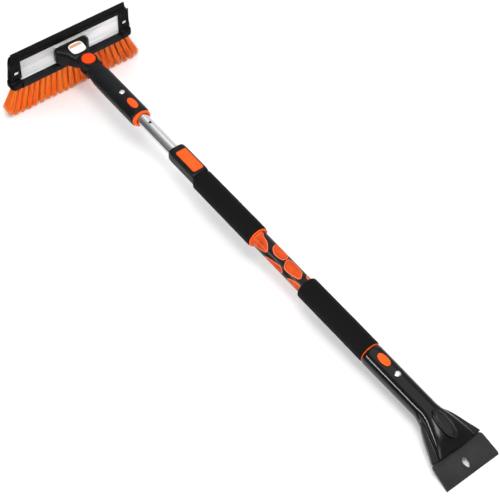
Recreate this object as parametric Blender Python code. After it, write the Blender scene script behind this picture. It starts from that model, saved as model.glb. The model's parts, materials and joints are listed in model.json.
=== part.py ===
"""Telescoping snow brush: a swivelling squeegee and bristle head, a two-tube pole with foam grips, and a pull-off ice scraper.

Everything is drawn in millimetres in the stick frame: X runs along the pole from the swivel axis (0) to the scraper,
Y along the head, Z square to the pole. One empty tips that frame so that bristles and blade both stand on the floor.
"""
import math

import bmesh
import bpy
from mathutils import Matrix, Vector

for old in list(bpy.data.objects):
    bpy.data.objects.remove(old, do_unlink=True)

# ---- driving dimensions, mm ----
MM = 0.001
TILT = math.radians(3.76)      # how far the pole falls towards the scraper
PIVOT_H = 84.11                # height of the pole's axis at the swivel
SHIFT_X = -392.5
SEG = 36

TUBE_IN_R, TUBE_IN_BORE = 9.5, 8.3
TUBE_OUT_R, TUBE_OUT_BORE = 11.0, 10.2
FOAM_R = 17.0
NECK_W, NECK_TOP, NECK_LOW = 16.1, 12.3, 16.6
BARREL_R, LUG_TOP, LUG_BOTTOM = 14.3, 10.6, -14.6
SCREW_S, NECK_BUTTON_S, COLLAR_S = 90.0, 118.0, 138.2
DETENT_S, DETENT_PITCH = 163.0, 81.5
LOCK_S, LOCK_END = 226.0, 289.6
LEVER_S, PLUNGER_S = 262.0, 244.5
FOAM1 = (290.4, 421.0)
SLEEVE = (424.4, 527.7)
FOAM2 = (528.2, 659.0)
BODY_S, SCR_BUTTON_S, SCR_SCREW_S = 661.4, 685.2, 712.0
BLADE_S, BLADE_Z = 862.0, -27.6   # the scraping edge
BLADE_SLOPE = math.radians(18)
BLADE_W = 45.0

HEAD_X = -54.4                 # front face of the window panel
BLOCK = (-64.0, -46.0)         # depth of the brush block
BLOCK_Z = (-36.2, -26.0)
FRAME_Y = 91.0                 # inner edge of the end brackets
RUBBER_Y, RUBBER_TOP = 103.5, 32.5
BRISTLE_Y, SPLAY_Y = 107.0, 126.0

RIG = bpy.data.objects.new("rig", None)
bpy.context.scene.collection.objects.link(RIG)
RIG.location = (SHIFT_X * MM, 0, PIVOT_H * MM)
RIG.rotation_euler = (0, TILT, 0)


def material(name, colour, rough, metal=0.0, coat=0.0):
    mat = bpy.data.materials.new(name)
    mat.use_nodes = True
    shader = mat.node_tree.nodes["Principled BSDF"]
    shader.inputs["Base Color"].default_value = (*colour, 1)
    shader.inputs["Roughness"].default_value = rough
    shader.inputs["Metallic"].default_value = metal
    shader.inputs["Coat Weight"].default_value = coat
    mat.diffuse_color = (*colour, 1)
    return mat


BLACK = ((0.012, 0.013, 0.015), 0.34)
ORANGE = ((0.95, 0.13, 0.012), 0.32)


# ---- shapes, all returning a bmesh in stick-frame millimetres ----
def loft(sections):
    bm = bmesh.new()
    rings = [[bm.verts.new(p) for p in sec] for sec in sections]
    n = len(rings[0])
    for a, b in zip(rings, rings[1:]):
        for i in range(n):
            j = (i + 1) % n
            bm.faces.new((a[i], a[j], b[j], b[i]))
    bm.faces.new(rings[0][::-1])
    bm.faces.new(rings[-1])
    bmesh.ops.recalc_face_normals(bm, faces=bm.faces)
    return bm


def revolve(profile, seg=SEG, axis="X", centre=(0, 0, 0)):
    """A closed (radius, along) profile turned round an axis."""
    bm = bmesh.new()
    c = Vector(centre)

    def place(r, t, k):
        a = 2 * math.pi * k / seg
        u, v = r * math.cos(a), r * math.sin(a)
        return c + Vector({"X": (t, u, v), "Y": (v, t, u), "Z": (u, v, t)}[axis])

    rings = []
    for r, t in profile:
        rings.append([bm.verts.new(place(r, t, k)) for k in range(seg if r > 0 else 1)])
    for a, b in zip(rings, rings[1:] + rings[:1]):
        if len(a) == 1 and len(b) == 1:
            continue
        for k in range(seg):
            j = (k + 1) % seg
            face = []
            for ring, ids in ((a, (k, j)), (b, (j, k))):
                face += [ring[0]] if len(ring) == 1 else [ring[i] for i in ids]
            bm.faces.new(face)
    bmesh.ops.recalc_face_normals(bm, faces=bm.faces)
    return bm


def tube(r_out, r_in, a, b, seg=SEG, ch=0.3, axis="X", centre=(0, 0, 0)):
    return revolve([(r_in, a), (r_out - ch, a), (r_out, a + ch), (r_out, b - ch), (r_out - ch, b), (r_in, b)], seg, axis, centre)


def rod(r, a, b, seg=24, ch=0.2, axis="Z", centre=(0, 0, 0)):
    return revolve([(0, a), (r - ch, a), (r, a + ch), (r, b - ch), (r - ch, b), (0, b)], seg, axis, centre)


def box(lo, hi, bevel=0.0, segments=2):
    bm = bmesh.new()
    bmesh.ops.create_cube(bm, size=1)
    for v in bm.verts:
        v.co = Vector([(l + h) / 2 + c * (h - l) for l, h, c in zip(lo, hi, v.co)])
    if bevel:
        bmesh.ops.bevel(bm, geom=list(bm.edges), offset=bevel, segments=segments, profile=0.5, affect="EDGES")
    return bm


def prism(poly, a, b, axis="Y", bevel=0.0):
    """A polygon of (first, second) pairs pushed from a to b; the pairs are the two other axes in X, Y, Z order."""
    place = {"X": lambda p, t: (t, p[0], p[1]), "Y": lambda p, t: (p[0], t, p[1]), "Z": lambda p, t: (p[0], p[1], t)}[axis]
    bm = loft([[place(p, a) for p in poly], [place(p, b) for p in poly]])
    if bevel:
        bmesh.ops.bevel(bm, geom=list(bm.edges), offset=bevel, segments=2, profile=0.5, affect="EDGES", clamp_overlap=True)
    return bm


def oval(cx, cy, hx, hy, n=32, e=2.0):
    out = []
    for k in range(n):
        a = 2 * math.pi * k / n
        c, s = math.cos(a), math.sin(a)
        out.append((cx + hx * math.copysign(abs(c) ** (2 / e), c), cy + hy * math.copysign(abs(s) ** (2 / e), s)))
    return out


def dome(cx, cy, hx, hy, levels, e=2.0, n=32):
    """Stacked ovals: levels are (z, inset)."""
    return loft([[(x, y, z) for x, y in oval(cx, cy, hx - d, hy - d, n, e)] for z, d in levels])


def ribbon(points, half_y, thick):
    """A strip of sheet bent along points (x, z) and half_y wide each way."""
    left, right = [], []
    for i, (x, z) in enumerate(points):
        (xa, za), (xb, zb) = points[max(i - 1, 0)], points[min(i + 1, len(points) - 1)]
        d = Vector((xb - xa, zb - za)).normalized()
        left.append((x - d.y * thick / 2, z + d.x * thick / 2))
        right.append((x + d.y * thick / 2, z - d.x * thick / 2))
    return prism(left + right[::-1], -half_y, half_y, "Y")


def coil(radius, wire, z0, z1, turns, centre, per_turn=14, sides=6):
    """A closed-end helix standing on Z."""
    bm = bmesh.new()
    steps = int(turns * per_turn)
    rings = []
    for i in range(steps + 1):
        a = 2 * math.pi * i / per_turn
        z = z0 + wire + (z1 - z0 - 2 * wire) * i / steps
        out = Vector((math.cos(a), math.sin(a), 0))
        mid = Vector(centre) + out * radius + Vector((0, 0, z))
        rings.append([bm.verts.new(mid + out * wire * math.cos(b) + Vector((0, 0, wire * math.sin(b)))) for b in [2 * math.pi * k / sides for k in range(sides)]])
    for a, b in zip(rings, rings[1:]):
        for k in range(sides):
            j = (k + 1) % sides
            bm.faces.new((a[k], a[j], b[j], b[k]))
    bm.faces.new(rings[0][::-1])
    bm.faces.new(rings[-1])
    bmesh.ops.recalc_face_normals(bm, faces=bm.faces)
    return bm


def turned(bm, angle, about, axis="Y"):
    bmesh.ops.transform(bm, matrix=Matrix.Translation(about) @ Matrix.Rotation(angle, 4, axis) @ Matrix.Translation(-Vector(about)), verts=bm.verts)
    return bm


def flipped(bm):
    for v in bm.verts:
        v.co.y = -v.co.y
    bmesh.ops.reverse_faces(bm, faces=bm.faces)
    return bm


def add(name, bm, colour, rough, metal=0.0, origin=(0, 0, 0), smooth=32, coat=0.0):
    for v in bm.verts:
        v.co = (v.co - Vector(origin)) * MM
    mesh = bpy.data.meshes.new(name)
    bm.to_mesh(mesh)
    bm.free()
    obj = bpy.data.objects.new(name, mesh)
    bpy.context.scene.collection.objects.link(obj)
    obj.parent = RIG
    obj.location = Vector(origin) * MM
    mesh.materials.append(material(name, colour, rough, metal, coat))
    mesh.shade_smooth()
    mesh.set_sharp_from_angle(angle=math.radians(smooth))
    return obj


def carve(obj, *steps, smooth=32):
    """Each step is ("-", "+" or "&", bmesh): cut away, joined on, or kept in common."""
    helpers = []
    for op, bm in steps:
        bmesh.ops.recalc_face_normals(bm, faces=bm.faces)
        for v in bm.verts:
            v.co *= MM
        mesh = bpy.data.meshes.new("helper")
        bm.to_mesh(mesh)
        bm.free()
        helper = bpy.data.objects.new("helper", mesh)
        bpy.context.scene.collection.objects.link(helper)
        helper.parent = RIG
        helper.hide_render = True
        helper.display_type = "WIRE"
        helpers.append(helper)
        mod = obj.modifiers.new("carve", "BOOLEAN")
        mod.object = helper
        mod.solver = "EXACT"
        mod.operation = {"-": "DIFFERENCE", "+": "UNION", "&": "INTERSECT"}[op]
    bpy.context.view_layer.update()
    graph = bpy.context.evaluated_depsgraph_get()
    mesh = bpy.data.meshes.new_from_object(obj.evaluated_get(graph))
    obj.modifiers.clear()
    obj.data = mesh
    for helper in helpers:
        bpy.data.objects.remove(helper, do_unlink=True)
    mesh.shade_smooth()
    mesh.set_sharp_from_angle(angle=math.radians(smooth))
    return obj


# ---- brush head ----
block = prism([(BLOCK[0], BLOCK_Z[0] + 1.5), (BLOCK[0] + 1.5, BLOCK_Z[0]), (BLOCK[1] - 1.5, BLOCK_Z[0]), (BLOCK[1], BLOCK_Z[0] + 1.5),
               (BLOCK[1], BLOCK_Z[1] - 2.2), (BLOCK[1] - 2.2, BLOCK_Z[1]), (BLOCK[0] + 2.2, BLOCK_Z[1]), (BLOCK[0], BLOCK_Z[1] - 2.2)], -91.6, 91.6, "Y")
add("brush_block", block, *BLACK)

# The bristle field: a closed fan, flat where it stands on the floor and lifting slightly towards its splayed ends.
def floor_z(x, lift):
    return (lift - PIVOT_H + x * math.sin(TILT)) / math.cos(TILT)


fan = []
for k in range(17):
    t = -1 + 2 * k / 16
    y_root, y_tip = BRISTLE_Y * t, BRISTLE_Y * t + (SPLAY_Y - BRISTLE_Y) * t
    lift = 6.0 * max(0.0, (abs(t) - 0.5) / 0.5) ** 2
    x0, x1 = -68.0, -43.5
    fan.append([(-62.5, y_root, -36.6), (-48.0, y_root, -36.6), (-45.2, (y_root + y_tip) / 2, -62.0), (x1, y_tip, floor_z(x1, lift)),
                (x0, y_tip, floor_z(x0, lift)), (-66.0, (y_root + y_tip) / 2, -62.0)])
add("bristle_field", loft(fan), (1.0, 0.2, 0.02), 0.55, smooth=20)

# The window panel: a thin extrusion with a raised rail along its top and bottom edges.
panel = add("window_panel", prism([(-91.3, -25.6), (91.3, -25.6), (91.3, -17.2), (103.0, -17.2), (103.0, 14.9), (-103.0, 14.9), (-103.0, -17.2), (-91.3, -17.2)], -56.0, HEAD_X, "X"), (0.72, 0.73, 0.75), 0.3, 1.0)
carve(panel, ("+", box((-55.0, -90.4, 11.8), (-52.6, 90.4, 14.9))),
      ("+", box((-55.0, 97.0, -6.2), (-50.9, 102.9, -1.8))), ("+", box((-55.0, -102.9, -6.2), (-50.9, -97.0, -1.8))),
      ("-", rod(1.9, -57, -50, 16, 0, "X", (0, -14, -8))), ("-", rod(1.9, -57, -50, 16, 0, "X", (0, 14, -8))))

holder = add("squeegee_holder", prism([(-60.5, 16.4), (-59.3, 15.2), (-51.4, 15.2), (-50.2, 16.4), (-50.2, 22.8), (-51.6, 24.2), (-59.1, 24.2), (-60.5, 22.8)], -90.6, 90.6, "Y"), *BLACK)
carve(holder, ("-", prism([(-56.6, 18.6), (-52.8, 18.6), (-52.8, 30), (-56.6, 30)], -100, 100, "Y")))

blade_root = [(-56.2, 24.5), (-57.4, 24.5), (-57.4, 26.0), (-55.9, RUBBER_TOP), (-53.5, RUBBER_TOP), (-52.0, 26.0), (-52.0, 24.5), (-53.2, 24.5)]
rubber = add("squeegee_rubber", prism(blade_root, -RUBBER_Y, RUBBER_Y, "Y"), (0.010, 0.010, 0.011), 0.5)
carve(rubber, ("+", box((-56.2, -90.0, 19.0), (-53.2, 90.0, 25.2))))

bracket_outline = [(FRAME_Y, 24.0), (FRAME_Y, -17.7), (110.6, -17.7), (109.2, -6), (108.0, 4), (107.4, 14), (104.6, 24.0)]
ribbed = [(-61.0, FRAME_Y - 5)]
for k in range(5):
    y0 = FRAME_Y + 1.6 + k * 3.7
    ribbed += [(-50.2, y0 - 0.9), (-49.2, y0), (-49.2, y0 + 0.9), (-50.2, y0 + 1.8)]
ribbed = [(-61.0, 86.0), (-50.2, 86.0)] + ribbed[1:] + [(-50.2, 114.0), (-61.0, 114.0)]
for side, hand in ((-1, "left"), (1, "right")):
    bracket = add("end_bracket_" + hand, prism(bracket_outline, -62, -46, "X") if side > 0 else flipped(prism(bracket_outline, -62, -46, "X")), *BLACK)
    shapes = [prism(ribbed, -20, 26, "Z"), box((-56.4, 80, -25), (-54.0, 103.4, 15.2)), prism(oval(100.0, -4.0, 3.5, 2.7, 4, 2.0), -54.2, -53, "X"), prism(oval(100.0, -4.0, 4.2, 3.1, 20, 4.0), -54.2, -40, "X")]
    if side < 0:
        shapes = [flipped(bm) for bm in shapes]
    shapes[2].free()
    carve(bracket, ("&", shapes[0]), ("-", shapes[1]), ("-", shapes[3]), smooth=28)
    cap = box((-65.2, 91.9, -36.3), (-45.2, 112.2, -18.2), 4.4, 3)
    cap_cut = box((-57.0, 80, -40), (-51.8, 92.4, -10))
    if side < 0:
        cap = flipped(cap)
    cap = add("block_cap_" + hand, cap, *BLACK)

# Hub: an arched housing on the panel that narrows towards a knuckle on the swivel axis.
def hub_section(x, w, top, bottom, e_top, n=32):
    pts = []
    for k in range(n):
        a = 2 * math.pi * k / n
        c, q = math.cos(a), math.sin(a)
        e, h = (e_top, top + 9.0) if q >= 0 else (5.0, -9.0 - bottom)
        pts.append((x, w * math.copysign(abs(c) ** (2 / e), c), -9.0 + math.copysign(h * abs(q) ** (2 / e), q)))
    return pts


hub = add("hub_housing", loft([hub_section(*v) for v in ((-54.1, 29.6, 7.6, -25.1, 6.5), (-53.0, 30.6, 8.6, -25.2, 6.0), (-47.5, 30.6, 8.9, -25.2, 5.5), (-44.0, 28.8, 8.9, -24.8, 5.0), (-37.0, 23.6, 8.8, -23.0, 4.5),
                                                     (-29.0, 18.4, 8.3, -21.0, 4.0), (-22.0, 15.6, 7.0, -19.4, 3.6), (-17.6, 13.8, 5.2, -18.2, 3.4), (-16.0, 12.2, 3.6, -17.0, 3.2))]), *BLACK)
carve(hub, ("+", box((-24, -10.2, -5.9), (0, 10.2, 2.6))), ("+", rod(13.3, -5.9, 2.6, 36, 0.0, "Z")),
      ("-", rod(5.2, -9, 6, 24, 0, "Z")), ("-", rod(1.7, -58, -44, 16, 0, "X", (0, -14, -8))), ("-", rod(1.7, -58, -44, 16, 0, "X", (0, 14, -8))), smooth=35)
badge = turned(dome(-32.0, 0, 11.0, 12.6, [(9.05, 0.2), (9.5, 0.0), (9.8, 0.35)], 3.4), math.radians(4.5), (-32.0, 0, 9.0))
add("hub_badge", badge, (0.86, 0.83, 0.76), 0.45)
for y, hand in ((-14, "left"), (14, "right")):
    screw = revolve([(0, -59.4), (2.6, -59.4), (3.6, -58.4), (3.6, -56.4), (1.4, -56.4), (1.4, -46.0), (0, -45.2)], 20, "X", (0, y, -8))
    screw = add("hub_screw_" + hand, screw, (0.62, 0.63, 0.65), 0.25, 1.0)
    carve(screw, ("-", box((-60.5, y - 2.0, -8.35), (-58.6, y + 2.0, -7.65))), ("-", box((-60.5, y - 0.35, -10.0), (-58.6, y + 0.35, -6.0))))

# ---- neck: two shells round the inner tube, forked round the hub's knuckle ----
def half_sections(sign, stations, e, n=16):
    secs = []
    for s, w, h in stations:
        pts = []
        for k in range(n + 1):
            a = math.pi * k / n
            c, q = math.cos(a), math.sin(a)
            y = w * math.copysign(abs(c) ** (2 / e), c)
            z = 0.15 + (h - 0.15) * abs(q) ** (2 / e)
            pts.append((s, y, sign * z))
        secs.append(pts)
    return secs


stations = [(14.0, 14.2, 10.6), (22, 14.4, 10.8), (30, 15.4, 11.4), (40, 16.0, 12.2), (50, NECK_W, NECK_TOP), (131, NECK_W, NECK_TOP), (136.2, 15.8, 12.0), (137.9, 15.2, 11.5)]
upper = add("neck_shell_upper", loft(half_sections(1, stations, 2.3)), *BLACK)
carve(upper, ("+", revolve([(0, 3.0), (13.8, 3.0), (BARREL_R, 3.5), (BARREL_R, LUG_TOP - 1.0), (BARREL_R - 1.0, LUG_TOP), (0, LUG_TOP)], 36, "Z")), ("+", box((2, -13.2, 3.2), (17, 13.2, LUG_TOP - 2.6))),
      ("-", rod(11.15, 4.4, 20, 36, 0, "Z")), ("-", rod(5.2, 0, 8, 24, 0, "Z")),
      ("-", rod(9.85, 97.0, 150, SEG, 0, "X")),
      ("-", rod(4.8, 11.3, 20, 24, 0, "Z", (SCREW_S, 0, 0))), ("-", rod(2.2, -2, 14, 16, 0, "Z", (SCREW_S, 0, 0))),
      ("-", prism(oval(NECK_BUTTON_S, 0, 12.4, 6.9, 28, 2.2), 10.3, 20, "Z")), ("-", rod(3.8, 5, 14, 20, 0, "Z", (NECK_BUTTON_S, 0, 0))))
low_stations = [(14.0, 14.2, 13.0), (22, 14.4, 13.4), (30, 15.4, 14.6), (40, 16.0, 16.0), (50, NECK_W, NECK_LOW), (131, NECK_W, NECK_LOW), (136.2, 15.8, 16.2), (137.9, 15.2, 15.5)]
lower = add("neck_shell_lower", loft(half_sections(-1, low_stations, 2.5)), *BLACK)
carve(lower, ("+", revolve([(0, LUG_BOTTOM), (BARREL_R - 4.5, LUG_BOTTOM), (BARREL_R - 1.6, LUG_BOTTOM + 1.6), (BARREL_R, LUG_BOTTOM + 4.6), (BARREL_R, -6.9), (13.8, -6.3), (0, -6.3)], 36, "Z")),
      ("+", box((2, -13.2, -11.8), (17, 13.2, -6.4))),
      ("-", rod(5.2, -20, 0, 24, 0, "Z")), ("-", rod(9.85, 97.0, 150, SEG, 0, "X")), ("-", rod(2.2, -8.6, 2, 16, 0, "Z", (SCREW_S, 0, 0))))
add("pivot_pin", revolve([(0, -14.0), (4.2, -14.0), (4.8, -13.4), (4.8, 3.6), (4.3, 4.2), (0, 4.2)], 24, "Z"), (0.6, 0.6, 0.62), 0.28, 1.0)
add("pivot_spring", coil(7.6, 0.5, 4.6, 7.8, 2.5, (0, 0, 0), 12, 5), (0.55, 0.55, 0.57), 0.3, 1.0)
add("pivot_button", revolve([(0, 8.0), (10.5, 8.0), (10.7, 8.3), (10.7, 11.3), (10.2, 12.0), (9.0, 12.5), (6.0, 12.9), (0, 13.1)], 36, "Z"), *ORANGE, origin=(0, 0, 10), coat=0.3)


def pan_screw(name, s, z_head, z_tip):
    screw = revolve([(0, z_tip), (1.3, z_tip + 0.6), (1.8, z_tip + 2), (1.8, z_head), (4.3, z_head), (4.3, z_head + 1.1), (3.5, z_head + 2.1), (2.0, z_head + 2.6), (0, z_head + 2.7)], 24, "Z", (s, 0, 0))
    screw = add(name, screw, (0.78, 0.79, 0.8), 0.16, 1.0, origin=(s, 0, z_head))
    carve(screw, ("-", box((s - 2.3, -0.45, z_head + 1.3), (s + 2.3, 0.45, z_head + 4))), ("-", box((s - 0.45, -2.3, z_head + 1.3), (s + 0.45, 2.3, z_head + 4))))


pan_screw("neck_screw", SCREW_S, 11.5, -8.0)
neck_button = dome(NECK_BUTTON_S, 0, 12.0, 6.5, [(11.6, 0.3), (11.9, 0.0), (13.1, 0.0), (13.9, 0.7), (14.4, 2.4)], 2.2)
neck_button = add("neck_button", neck_button, *ORANGE, origin=(NECK_BUTTON_S, 0, 13), coat=0.3)
carve(neck_button, ("+", rod(3.3, 3.1, 12.4, 20, 0.3, "Z", (NECK_BUTTON_S, 0, 0))))
add("neck_snap_spring", ribbon([(125.0, 2.3), (109.0, 2.3), (105.6, 0.6), (104.2, -2.2), (105.6, -5.0), (109.0, -6.7), (130.0, -6.9)], 3.2, 0.5), (0.6, 0.6, 0.62), 0.3, 1.0)
collar = []
for ds, inset in ((0.0, 1.0), (0.9, 0.0), (4.6, 0.0), (6.0, 1.2)):
    collar.append([(COLLAR_S + ds, (15.4 - inset) * math.cos(2 * math.pi * k / SEG), ((11.7 if k < SEG / 2 else 15.7) - inset) * math.sin(2 * math.pi * k / SEG)) for k in range(SEG)])
collar = add("neck_collar", loft(collar), *ORANGE)
carve(collar, ("-", rod(9.85, 130, 150, SEG, 0, "X")))

inner = add("inner_tube", tube(TUBE_IN_R, TUBE_IN_BORE, 97.8, 560.0, SEG, 0.15), (0.80, 0.81, 0.83), 0.22, 1.0)
holes = [("-", rod(2.4, 4, 14, 16, 0, "Z", (DETENT_S + DETENT_PITCH * k, 0, 0))) for k in range(5)]
carve(inner, ("-", rod(3.8, 4, 14, 24, 0, "Z", (NECK_BUTTON_S, 0, 0))), *holes)
add("tube_guide", revolve([(5.0, 546.0), (7.7, 546.0), (8.0, 546.5), (8.0, 560.3), (9.7, 560.3), (10.0, 560.7), (10.0, 567.5), (9.6, 568.0), (5.0, 568.0)], 28), (0.03, 0.03, 0.032), 0.5)

# ---- pole: outer tube, lock, grips and patterned sleeve ----
outer = add("outer_tube", tube(TUBE_OUT_R, TUBE_OUT_BORE, 231.4, 700.0, SEG, 0.15), (0.75, 0.76, 0.78), 0.28, 1.0)
carve(outer, ("-", rod(3.1, 5, 14, 20, 0, "Z", (PLUNGER_S, 0, 0))))


def lock_section(s, w, top, bottom, n=32):
    pts = []
    for k in range(n):
        a = 2 * math.pi * k / n
        c, q = math.cos(a), math.sin(a)
        if q >= 0:
            pts.append((s, w * math.copysign(abs(c) ** (2 / 5.0), c), top * abs(q) ** (2 / 5.0)))
        else:
            pts.append((s, w * math.copysign(abs(c) ** (2 / 2.2), c), -bottom * abs(q) ** (2 / 2.2)))
    return pts


lock = add("lock_housing", loft([lock_section(*v) for v in ((LOCK_S, 11.8, 12.0, 11.6), (LOCK_S + 1.4, 12.8, 13.6, 12.4), (LOCK_S + 4.5, 13.5, 15.0, 12.9), (LOCK_S + 10, 13.8, 15.9, 13.1),
                                                       (LOCK_S + 58, 13.8, 15.9, 13.1), (LOCK_END - 1.2, 13.5, 15.2, 12.8), (LOCK_END, 12.9, 14.4, 12.2))]), *BLACK)
carve(lock, ("-", rod(9.85, 220, 234, SEG, 0, "X")), ("-", rod(11.3, 231, 300, SEG, 0, "X")),
      ("-", prism(oval(LEVER_S - 0.6, 0, 23.0, 9.3, 36, 5.0), 11.9, 22, "Z")), ("-", rod(3.1, 6, 16, 20, 0, "Z", (PLUNGER_S, 0, 0))),
      ("-", rod(1.4, -10.5, 10.5, 16, 0, "Y", (LEVER_S, 0, 14.7))))
lever = add("lock_lever", dome(LEVER_S - 0.6, 0, 22.2, 8.8, [(12.9, 0.5), (13.3, 0.0), (15.8, 0.0), (16.7, 0.6), (17.2, 1.8)], 5.0, 36), *ORANGE, origin=(LEVER_S, 0, 14.7), coat=0.3)
carve(lever, ("-", prism([(271, 11.5), (285, 11.5), (285, 13.6), (271, 12.85)], -12, 12, "Y")),
      ("-", rod(1.45, -12, 12, 16, 0, "Y", (LEVER_S, 0, 14.7))), ("-", rod(3.3, 10, 15.4, 20, 0, "Z", (276.5, 0, 0))),
      ("-", box((LEVER_S - 17, -6.3, 16.75), (LEVER_S - 15.8, 6.3, 18))), ("-", box((LEVER_S - 13.6, -6.3, 16.75), (LEVER_S - 12.4, 6.3, 18))), ("-", box((LEVER_S - 10.2, -6.3, 16.75), (LEVER_S - 9.0, 6.3, 18))))
add("lock_hinge_pin", rod(1.15, -10.2, 10.2, 16, 0.2, "Y", (LEVER_S, 0, 14.7)), (0.6, 0.6, 0.62), 0.25, 1.0)
add("lock_plunger", rod(2.6, 9.75, 12.4, 20, 0.3, "Z", (PLUNGER_S, 0, 0)), (0.6, 0.6, 0.62), 0.25, 1.0, origin=(PLUNGER_S, 0, 11))
add("lock_spring", coil(2.4, 0.35, 12.2, 15.1, 3, (276.5, 0, 0), 12, 5), (0.55, 0.55, 0.57), 0.3, 1.0)


def foam(a, b):
    prof = [(11.45, a), (FOAM_R - 2.6, a), (FOAM_R - 0.9, a + 0.7), (FOAM_R, a + 2.6), (FOAM_R, b - 1.0), (FOAM_R - 1.0, b), (11.45, b)]
    return revolve(prof)


add("foam_grip_front", foam(*FOAM1), (0.016, 0.016, 0.017), 0.85)
add("foam_grip_rear", foam(*FOAM2), (0.016, 0.016, 0.017), 0.85)
add("grip_ring_front", revolve([(11.35, 421.3), (16.1, 421.3), (16.6, 421.9), (16.6, 422.9), (15.9, 423.6), (11.35, 424.1)]), *ORANGE)
add("grip_ring_rear", revolve([(11.35, 659.3), (16.5, 659.3), (16.7, 659.7), (16.5, 660.7), (11.35, 660.9)]), *ORANGE)
add("orange_sleeve", tube(11.85, 11.3, *SLEEVE, SEG, 0.1), (0.80, 0.07, 0.010), 0.38)
web = add("web_sleeve", tube(12.5, 11.98, *SLEEVE, 48, 0.1), *BLACK)
# Windows in the black web, each an outline of (along the pole, degrees round it from the top).
windows = [
    [(422, -66), (422, 18), (427, 20), (433, 2), (441, -3), (446, -15), (453, -42), (450, -58), (440, -70), (430, -80)],
    [(455, 24), (461, 42), (472, 38), (478, 8), (480, -12), (476, -22), (467, -29), (459, -15)],
    [(453, -98), (461, -77), (472, -65), (481, -54), (487, -61), (490, -72), (487, -95), (475, -107), (461, -111)],
    [(484, 17), (488, 28), (497, 32), (510, 22), (515, 1), (518, -18), (515, -32), (505, -42), (495, -51), (490, -40), (487, -20), (484, -1)],
    [(505, -80), (509, -66), (516, -56), (523, -50), (525, -66), (523, -84), (515, -92)],
    [(519, 40), (524, 14), (530, 14), (530, 64), (522, 62)],
    [(432, 60), (448, 66), (455, 92), (450, 120), (436, 128), (429, 96)],
    [(464, 72), (482, 58), (496, 66), (500, 92), (488, 112), (468, 108)],
    [(440, 152), (462, 136), (472, 156), (470, 192), (450, 204), (436, 184)],
    [(484, 140), (506, 128), (516, 152), (510, 184), (490, 190), (480, 166)],
    [(430, -110), (440, -126), (444, -148), (432, -152), (422, -140), (422, -112)],
    [(496, -124), (512, -116), (522, -134), (516, -160), (500, -158), (492, -142)],
]
cutters = []
for outline in windows:
    rings = []
    for r in (4.0, 45.0):
        rings.append([(s, r * math.sin(math.radians(p)), r * math.cos(math.radians(p))) for s, p in outline])
    cutters.append(("-", loft(rings)))
carve(web, *cutters, smooth=25)

# ---- ice scraper ----
def handle_ring(s, w, top, bottom):
    """The grip's own section, its points spread the way the fan's are."""
    pts = []
    angles = [0, 6, 12, 18, 24] + [24 + 132 * k / 10 for k in range(1, 11)] + [162, 168, 174, 180]
    angles += [180 + 180 * k / 14 for k in range(1, 14)]
    for deg in angles:
        c, q = math.cos(math.radians(deg)), math.sin(math.radians(deg))
        e = 2.15 if q >= 0 else 2.5
        pts.append((s, w * math.copysign(abs(c) ** (2 / e), c), (top if q >= 0 else -bottom) * math.copysign(abs(q) ** (2 / e), q)))
    return pts


def fan_ring(s, w, wing, droop, hump_w, hump_top, bottom):
    """Two flat wings either side of a narrowing hump, over a shallow underside."""
    def wing_z(y):
        return wing + droop * (abs(y) / w) ** 1.6

    pts = [(y, wing_z(y)) for y in [w, w * 0.93 + hump_w * 0.07, w * 0.66 + hump_w * 0.34, w * 0.33 + hump_w * 0.67, hump_w]]
    for k in range(1, 11):
        a = math.pi * k / 10
        base = wing_z(hump_w)
        pts.append((hump_w * math.cos(a), base + (hump_top - base) * math.sin(a) ** 0.8))
    pts += [(-y, z) for y, z in pts[3::-1]]
    for k in range(1, 14):
        a = math.pi * k / 14
        edge = wing_z(w) - 4.4
        pts.append((-w * math.cos(a), edge + (bottom - edge) * math.sin(a) ** 0.7))
    return [(s, y, z) for y, z in pts]


rings = [handle_ring(BODY_S, 15.4, 13.0, -16.4), handle_ring(BODY_S + 1.0, 15.9, 13.8, -16.9), handle_ring(690, 15.9, 13.8, -16.9), handle_ring(740, 15.7, 13.7, -16.6), handle_ring(768, 15.7, 13.7, -16.4), handle_ring(773, 15.9, 13.7, -16.4),
         fan_ring(779, 19.2, 1.2, -1.6, 15.6, 13.9, -16.6), fan_ring(785, 22.8, 1.4, -2.6, 15.2, 13.9, -17.0), fan_ring(793, 27.0, 0.6, -3.4, 14.4, 13.2, -17.6),
         fan_ring(802, 31.0, -1.0, -4.0, 13.2, 11.8, -18.4), fan_ring(811, 34.6, -3.2, -4.0, 11.6, 9.2, -19.2), fan_ring(819, 38.0, -5.6, -3.2, 9.6, 5.0, -20.2),
         fan_ring(825, 40.6, -7.8, -2.4, 7.4, 0.4, -21.2), fan_ring(836, 44.2, -11.4, -1.6, 5.4, -8.0, -22.6)]
front = prism([(827.3 + 3.2 * (1 - (y / 43.0) ** 2), y) for y in range(-48, 49, 8)] + [(860, 48), (860, -48)], -40, 30, "Z")
body = add("scraper_body", loft(rings), (0.012, 0.013, 0.015), 0.22, coat=0.3)
nx, nz = math.sin(BLADE_SLOPE), math.cos(BLADE_SLOPE)
dx, dz = math.cos(BLADE_SLOPE), -math.sin(BLADE_SLOPE)


def on_blade(along, up):
    """Back from the scraping edge, and up square to the underside."""
    return (BLADE_S - along * dx + up * nx, BLADE_Z - along * dz + up * nz)


def blade_solid(outline, low, high):
    """A plate on the blade's slope, from low to high above its underside."""
    bm = bmesh.new()
    rings = []
    for lo in (True, False):
        ring = []
        for along, y in outline:
            x, z = on_blade(along, low if lo else high)
            ring.append(bm.verts.new((x, y, z)))
        rings.append(ring)
    n = len(outline)
    for i in range(n):
        j = (i + 1) % n
        bm.faces.new((rings[0][i], rings[0][j], rings[1][j], rings[1][i]))
    bm.faces.new(rings[0][::-1])
    bm.faces.new(rings[1])
    bmesh.ops.recalc_face_normals(bm, faces=bm.faces)
    return bm


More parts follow.
